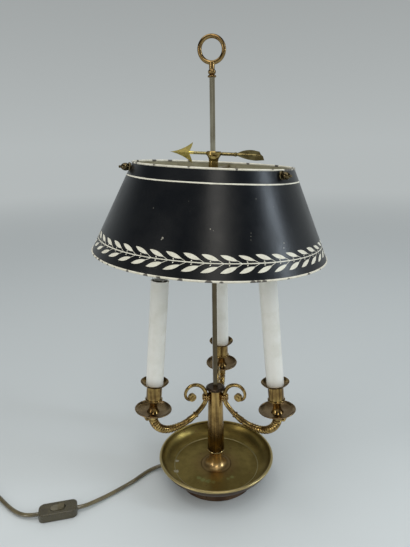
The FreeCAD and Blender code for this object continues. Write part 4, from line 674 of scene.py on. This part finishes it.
shade_paint = new_material("shade_paint")
tree = shade_paint.node_tree
outside = add_wear(tree, outside_colours, patch_size=22.0, dull_share=0.5, spot_share=0.012,
                   smooth=0.29, rough=0.36)
inside = add_wear(tree, inside_colours, patch_size=30.0, dull_share=0.5, spot_share=0.14,
                  smooth=0.5, rough=0.65)
in_carriage = add_node(tree, "Mapping", {
    "Vector": object_place(tree), "Location": (0.0, 0.0, carriage_height),
    "Rotation": (0.0, carriage_lean, 0.0)}, vector_type="TEXTURE").outputs["Vector"]
from_axis = vector_maths(tree, "LENGTH", vector_maths(tree, "MULTIPLY", in_carriage, (1.0, 1.0, 0.0)))
height = add_node(tree, "SeparateXYZ", {"Vector": in_carriage}).outputs["Z"]
cone_radius = maths(tree, "MULTIPLY_ADD", height, -shade_slope,
                    shade_low_radius + shade_slope * shade_low + painted_face)
is_inside = maths(tree, "LESS_THAN", maths(tree, "SUBTRACT", from_axis, cone_radius), inside_from)
paint_grain = add_node(tree, "Bump", {"Height": outside["Height"], "Distance": paint_grain_depth})
paint = add_node(tree, "BsdfPrincipled", {
    "Base Color": mix_colours(tree, is_inside, outside["Color"], inside["Color"]),
    "Roughness": mix_values(tree, is_inside, outside["Roughness"], inside["Roughness"]),
    "Normal": paint_grain.outputs["Normal"], "Specular IOR Level": paint_shine})
add_node(tree, "OutputMaterial", {"Surface": paint.outputs["BSDF"]})
chip_colour = (0.33, 0.31, 0.25)
paint_chips = [(-21.9, 0.0453, 0.0014), (-22.3, 0.0435, 0.0010), (-0.15, 0.0598, 0.0009),
               (1.2, 0.0580, 0.0006), (36.0, 0.0422, 0.0010), (35.3, 0.0365, 0.0009),
               (18.9, 0.0560, 0.0006), (18.7, 0.0520, 0.0006), (18.5, 0.0480, 0.0006),
               (-31.0, 0.0780, 0.0006), (24.0, 0.0950, 0.0006), (-12.0, 0.0900, 0.0005)]
chip_spots = [(on_shade(angle, slant), radius) for angle, slant, radius in paint_chips]
chips = near_points(shade_paint, chip_spots, softness=0.0005)
tint_where(shade_paint, chips, chip_colour, 0.85)
dress(shade_paint, "black_paint", "shade_shell")

# Rims: a round wire along each edge of the shade, with the sheet's edge rolled over it, under cream
# enamel. Where the shade was handled the enamel is chipped to the dark metal. Chips are written as
# degrees from the front, to the right, and millimetres across half of the chip.
rim_cream = worn("rim_cream", (0.72, 0.68, 0.56), (0.60, 0.56, 0.44), (0.12, 0.085, 0.055),
                 patch_size=150, dull_share=0.4, spot_share=0.12, smooth=0.35, rough=0.5,
                 grain_depth=0.08)
bare_metal = (0.045, 0.034, 0.026)
low_chips = [(-78, 3), (-71, 3), (-66, 4), (-61, 3.4), (-57, 4), (-53, 3), (-48, 3), (-43, 2.4), (-35, 3),
             (-25.8, 4), (-20.0, 3.4), (-11.0, 3.8), (0, 4.6), (5.0, 3.4), (17.5, 4), (19.8, 4), (22.2, 4),
             (34, 2.8), (47, 4), (58, 3), (75, 3.6), (110, 4), (150, 4), (-130, 4)]
high_chips = [(-78, 4), (-70, 5), (-62, 3.6), (-40, 3), (-15, 2.4), (14, 3), (40, 2.4), (54, 5), (58, 5),
              (62, 5), (68, 5), (75, 5), (83, 5), (91, 5), (120, 5), (150, 4), (-100, 5), (-125, 5),
              (-160, 4), (-142, 5)]
top_slant = (shade_high - shade_low) * slant_per_height
rim_chips = [(on_shade(angle, slant), millimetres * 0.001)
             for slant, row in ((0.0, low_chips), (top_slant, high_chips)) for angle, millimetres in row]
tint_where(rim_cream, near_points(rim_cream, rim_chips, softness=0.0014), bare_metal, 0.92)
dress(rim_cream, "cream_paint", "shade_rim_bottom", "shade_rim_top")

# Painted border: a laurel wreath in cream, each pair of leaves pointing left on a thin stem with
# a berry on each side, and one thin line below the top rim. Brushed by hand over the black.
leaf_pairs, first_tip = 46, -3.39
leaf_pitch = 360.0 / leaf_pairs
leaf_sway, leaf_shift, leaf_swell = 0.12, 0.0004, (0.85, 1.12)
paint_thick = 0.00012
stem_slant, stem_width = 0.0215, 0.0011
line_slant, line_width = 0.1117, 0.0017
upper_leaf = {"tip": (0.0, 0.0311), "root": (7.37, 0.0248), "above": (4.0, 0.0302), "below": (3.3, 0.0256)}
lower_leaf = {"tip": (0.0, 0.0108), "root": (7.1, 0.0179), "above": (3.2, 0.0166), "below": (4.0, 0.0120)}
stem_joint, stalk_half = 9.5, 0.0003
berries = [(3.8, 0.0236), (3.8, 0.0195)]
berry_radius, berry_sides = 0.0007, 16
berry_stalk_run, berry_stalk_half = 0.58, 0.08
line_wobble, wobble_degrees, wobble_lag = 0.0002, 9, 0.7


def bow(start, middle, end, share):
    """A point of the smooth bow from start to end that passes its middle."""
    pull = [2 * m - (a + b) / 2 for a, m, b in zip(start, middle, end)]
    return tuple((1 - share) ** 2 * a + 2 * share * (1 - share) * p + share ** 2 * b
                 for a, p, b in zip(start, pull, end))


def painted_strip(form, above, below):
    """Paint between two rows of (degrees, slant) points."""
    top = [form.verts.new(on_shade(*point, paint_thick)) for point in above]
    low = [form.verts.new(on_shade(*point, paint_thick)) for point in below]
    for k in range(len(top) - 1):
        form.faces.new([low[k], low[k + 1], top[k + 1], top[k]])


wreath = bmesh.new()
hand = random.Random(11)
steps = [k / 9 for k in range(10)]
for k in range(leaf_pairs):
    start = first_tip + k * leaf_pitch + hand.uniform(-leaf_sway, leaf_sway)
    for leaf in (upper_leaf, lower_leaf):
        lift = hand.uniform(-leaf_shift, leaf_shift)
        swell = hand.uniform(*leaf_swell)
        tip, root, above, below = ((start + angle, slant + lift) for angle, slant in
                                   (leaf["tip"], leaf["root"], leaf["above"], leaf["below"]))
        middle = (above[1] + below[1]) / 2
        above, below = ((angle, middle + (slant - middle) * swell) for angle, slant in (above, below))
        upper_edge, lower_edge = ([bow(root, edge, tip, s) for s in steps] for edge in (above, below))
        painted_strip(wreath, upper_edge, lower_edge)
        joint = (start + stem_joint, stem_slant)
        stalk = [tuple(a + (b - a) * s for a, b in zip(root, joint)) for s in (-0.25, 0.3, 0.7, 1.0)]
        painted_strip(wreath, *([(a, s + half) for a, s in stalk] for half in (stalk_half, -stalk_half)))
    for angle, slant in berries:
        turn_share = math.degrees(berry_radius / radius_at(shade_low + slant))
        dot = [(start + angle + turn_share * math.cos(a), slant + berry_radius * math.sin(a))
               for a in (2 * math.pi * i / berry_sides for i in range(berry_sides))]
        across = berry_sides // 2
        painted_strip(wreath, dot[:across + 1], [dot[0]] + dot[:across:-1] + [dot[across]])
        painted_strip(wreath, *([(start + angle + run - berry_stalk_half, height),
                                 (start + angle + run + berry_stalk_half, height)]
                                for run, height in ((0.0, slant), (berry_stalk_run, stem_slant))))
for slant, width in ((stem_slant, stem_width), (line_slant, line_width)):
    painted_strip(wreath, *(
        [(a, slant + half + line_wobble * math.sin(a / wobble_degrees + lag)) for a in range(361)]
        for half, lag in ((width / 2, 0.0), (-width / 2, wobble_lag))))
bmesh.ops.recalc_face_normals(wreath, faces=wreath.faces)
border = mesh_object("painted_border", wreath)
border_cream = worn("border_cream", (0.72, 0.69, 0.57), (0.62, 0.585, 0.47), (0.24, 0.21, 0.15),
                    patch_size=170, dull_share=0.4, spot_share=0.08, smooth=0.4, rough=0.55,
                    grain_depth=0.03)
border.data.materials.append(border_cream)
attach(border, "carriage")

# Hub, spider and nuts: the hub rides on the square rod, three round spokes run from it to the
# shade, and an acorn-shaped nut outside the shade draws up each spoke.
hub_brass = worn("hub_brass", (0.46, 0.34, 0.12), (0.22, 0.15, 0.05), (0.14, 0.08, 0.04), patch_size=110,
                 dull_share=0.52, spot_share=0.1, smooth=0.10, rough=0.22, metallic=1.0,
                 grain_depth=0.008)
nut_brass = worn("nut_brass", (0.17, 0.135, 0.07), (0.095, 0.07, 0.036), (0.05, 0.035, 0.02),
                 patch_size=140, dull_share=0.5, spot_share=0.12, smooth=0.14, rough=0.28, metallic=1.0,
                 grain_depth=0.012)
spider_brass = worn("spider_brass", (0.36, 0.29, 0.17), (0.24, 0.18, 0.10), (0.12, 0.08, 0.05),
                    patch_size=120, dull_share=0.5, spot_share=0.14, smooth=0.25, rough=0.45,
                    metallic=1.0, grain_depth=0.03)
dress(hub_brass, "bright_brass", "shade_hub")
dress(spider_brass, "aged_brass", "shade_spider")
dress(nut_brass, "aged_brass", "shade_nuts")

# Arrow: cast and polished brass. The head is fixed in the hub, and the feathered tail is the
# screw that clamps the hub to the rod.
shaft_start, shaft_blend, shaft_olive = -0.0275, 0.003, (0.27, 0.235, 0.125)
# The head's very bright yellow is partly painted highlight, for the bright light that it mirrors.
arrow_brass = worn("arrow_brass", (1.0, 0.86, 0.30), (0.95, 0.76, 0.24), (0.40, 0.27, 0.11),
                   patch_size=90, dull_share=0.35, spot_share=0.03, smooth=0.24, rough=0.36, metallic=1.0,
                   grain_depth=0.010)
tail_brass = worn("tail_brass", (0.24, 0.195, 0.085), (0.13, 0.10, 0.042), (0.09, 0.06, 0.03),
                  patch_size=120, dull_share=0.5, spot_share=0.12, smooth=0.14, rough=0.28, metallic=1.0,
                  grain_depth=0.015)
along_shaft = ramp(arrow_brass.node_tree, place_along(arrow_brass.node_tree, "X"),
                   shaft_start, shaft_start + shaft_blend, shape="LINEAR")
tint_where(arrow_brass, along_shaft, shaft_olive, 0.85)
dress(arrow_brass, "bright_brass", "arrow_head")
dress(tail_brass, "bright_brass", "arrow_tail")

# In-line switch: two moulded shells, brown-gold like the lead, held together from below by steel
# screws. A rocker in a round-ended well tips on a steel pin over two brass contacts.
switch_brown = worn("switch_plastic", (0.072, 0.061, 0.034), (0.05, 0.042, 0.024), (0.22, 0.19, 0.13),
                    patch_size=110, dull_share=0.5, spot_share=0.04, smooth=0.2, rough=0.36,
                    grain_depth=0.02, coat=0.1)
rocker_brown = worn("rocker_plastic", (0.13, 0.112, 0.068), (0.095, 0.08, 0.05), (0.26, 0.22, 0.15),
                    patch_size=140, dull_share=0.5, spot_share=0.04, smooth=0.08, rough=0.2,
                    grain_depth=0.015, coat=0.6)
dress(switch_brown, "switch_plastic", "switch_base", "switch_cover")
dress(rocker_brown, "switch_plastic", "switch_rocker")
dress(steel, "steel", "switch_screws", "switch_rocker_pin")
dress(plain_brass, "plain_brass", "switch_contacts")

# Plug: a flat two-pin plug moulded on the lead's end in the lead's own brown-gold, with a tapered
# tail and plain brass pins.
plug_brown = worn("plug_plastic", (0.115, 0.10, 0.058), (0.082, 0.07, 0.042), (0.22, 0.19, 0.13),
                  patch_size=120, dull_share=0.5, spot_share=0.04, smooth=0.22, rough=0.38,
                  grain_depth=0.02, coat=0.4)
dress(plug_brown, "plug_plastic", "plug_body")
dress(plain_brass, "plain_brass", "plug_pins")
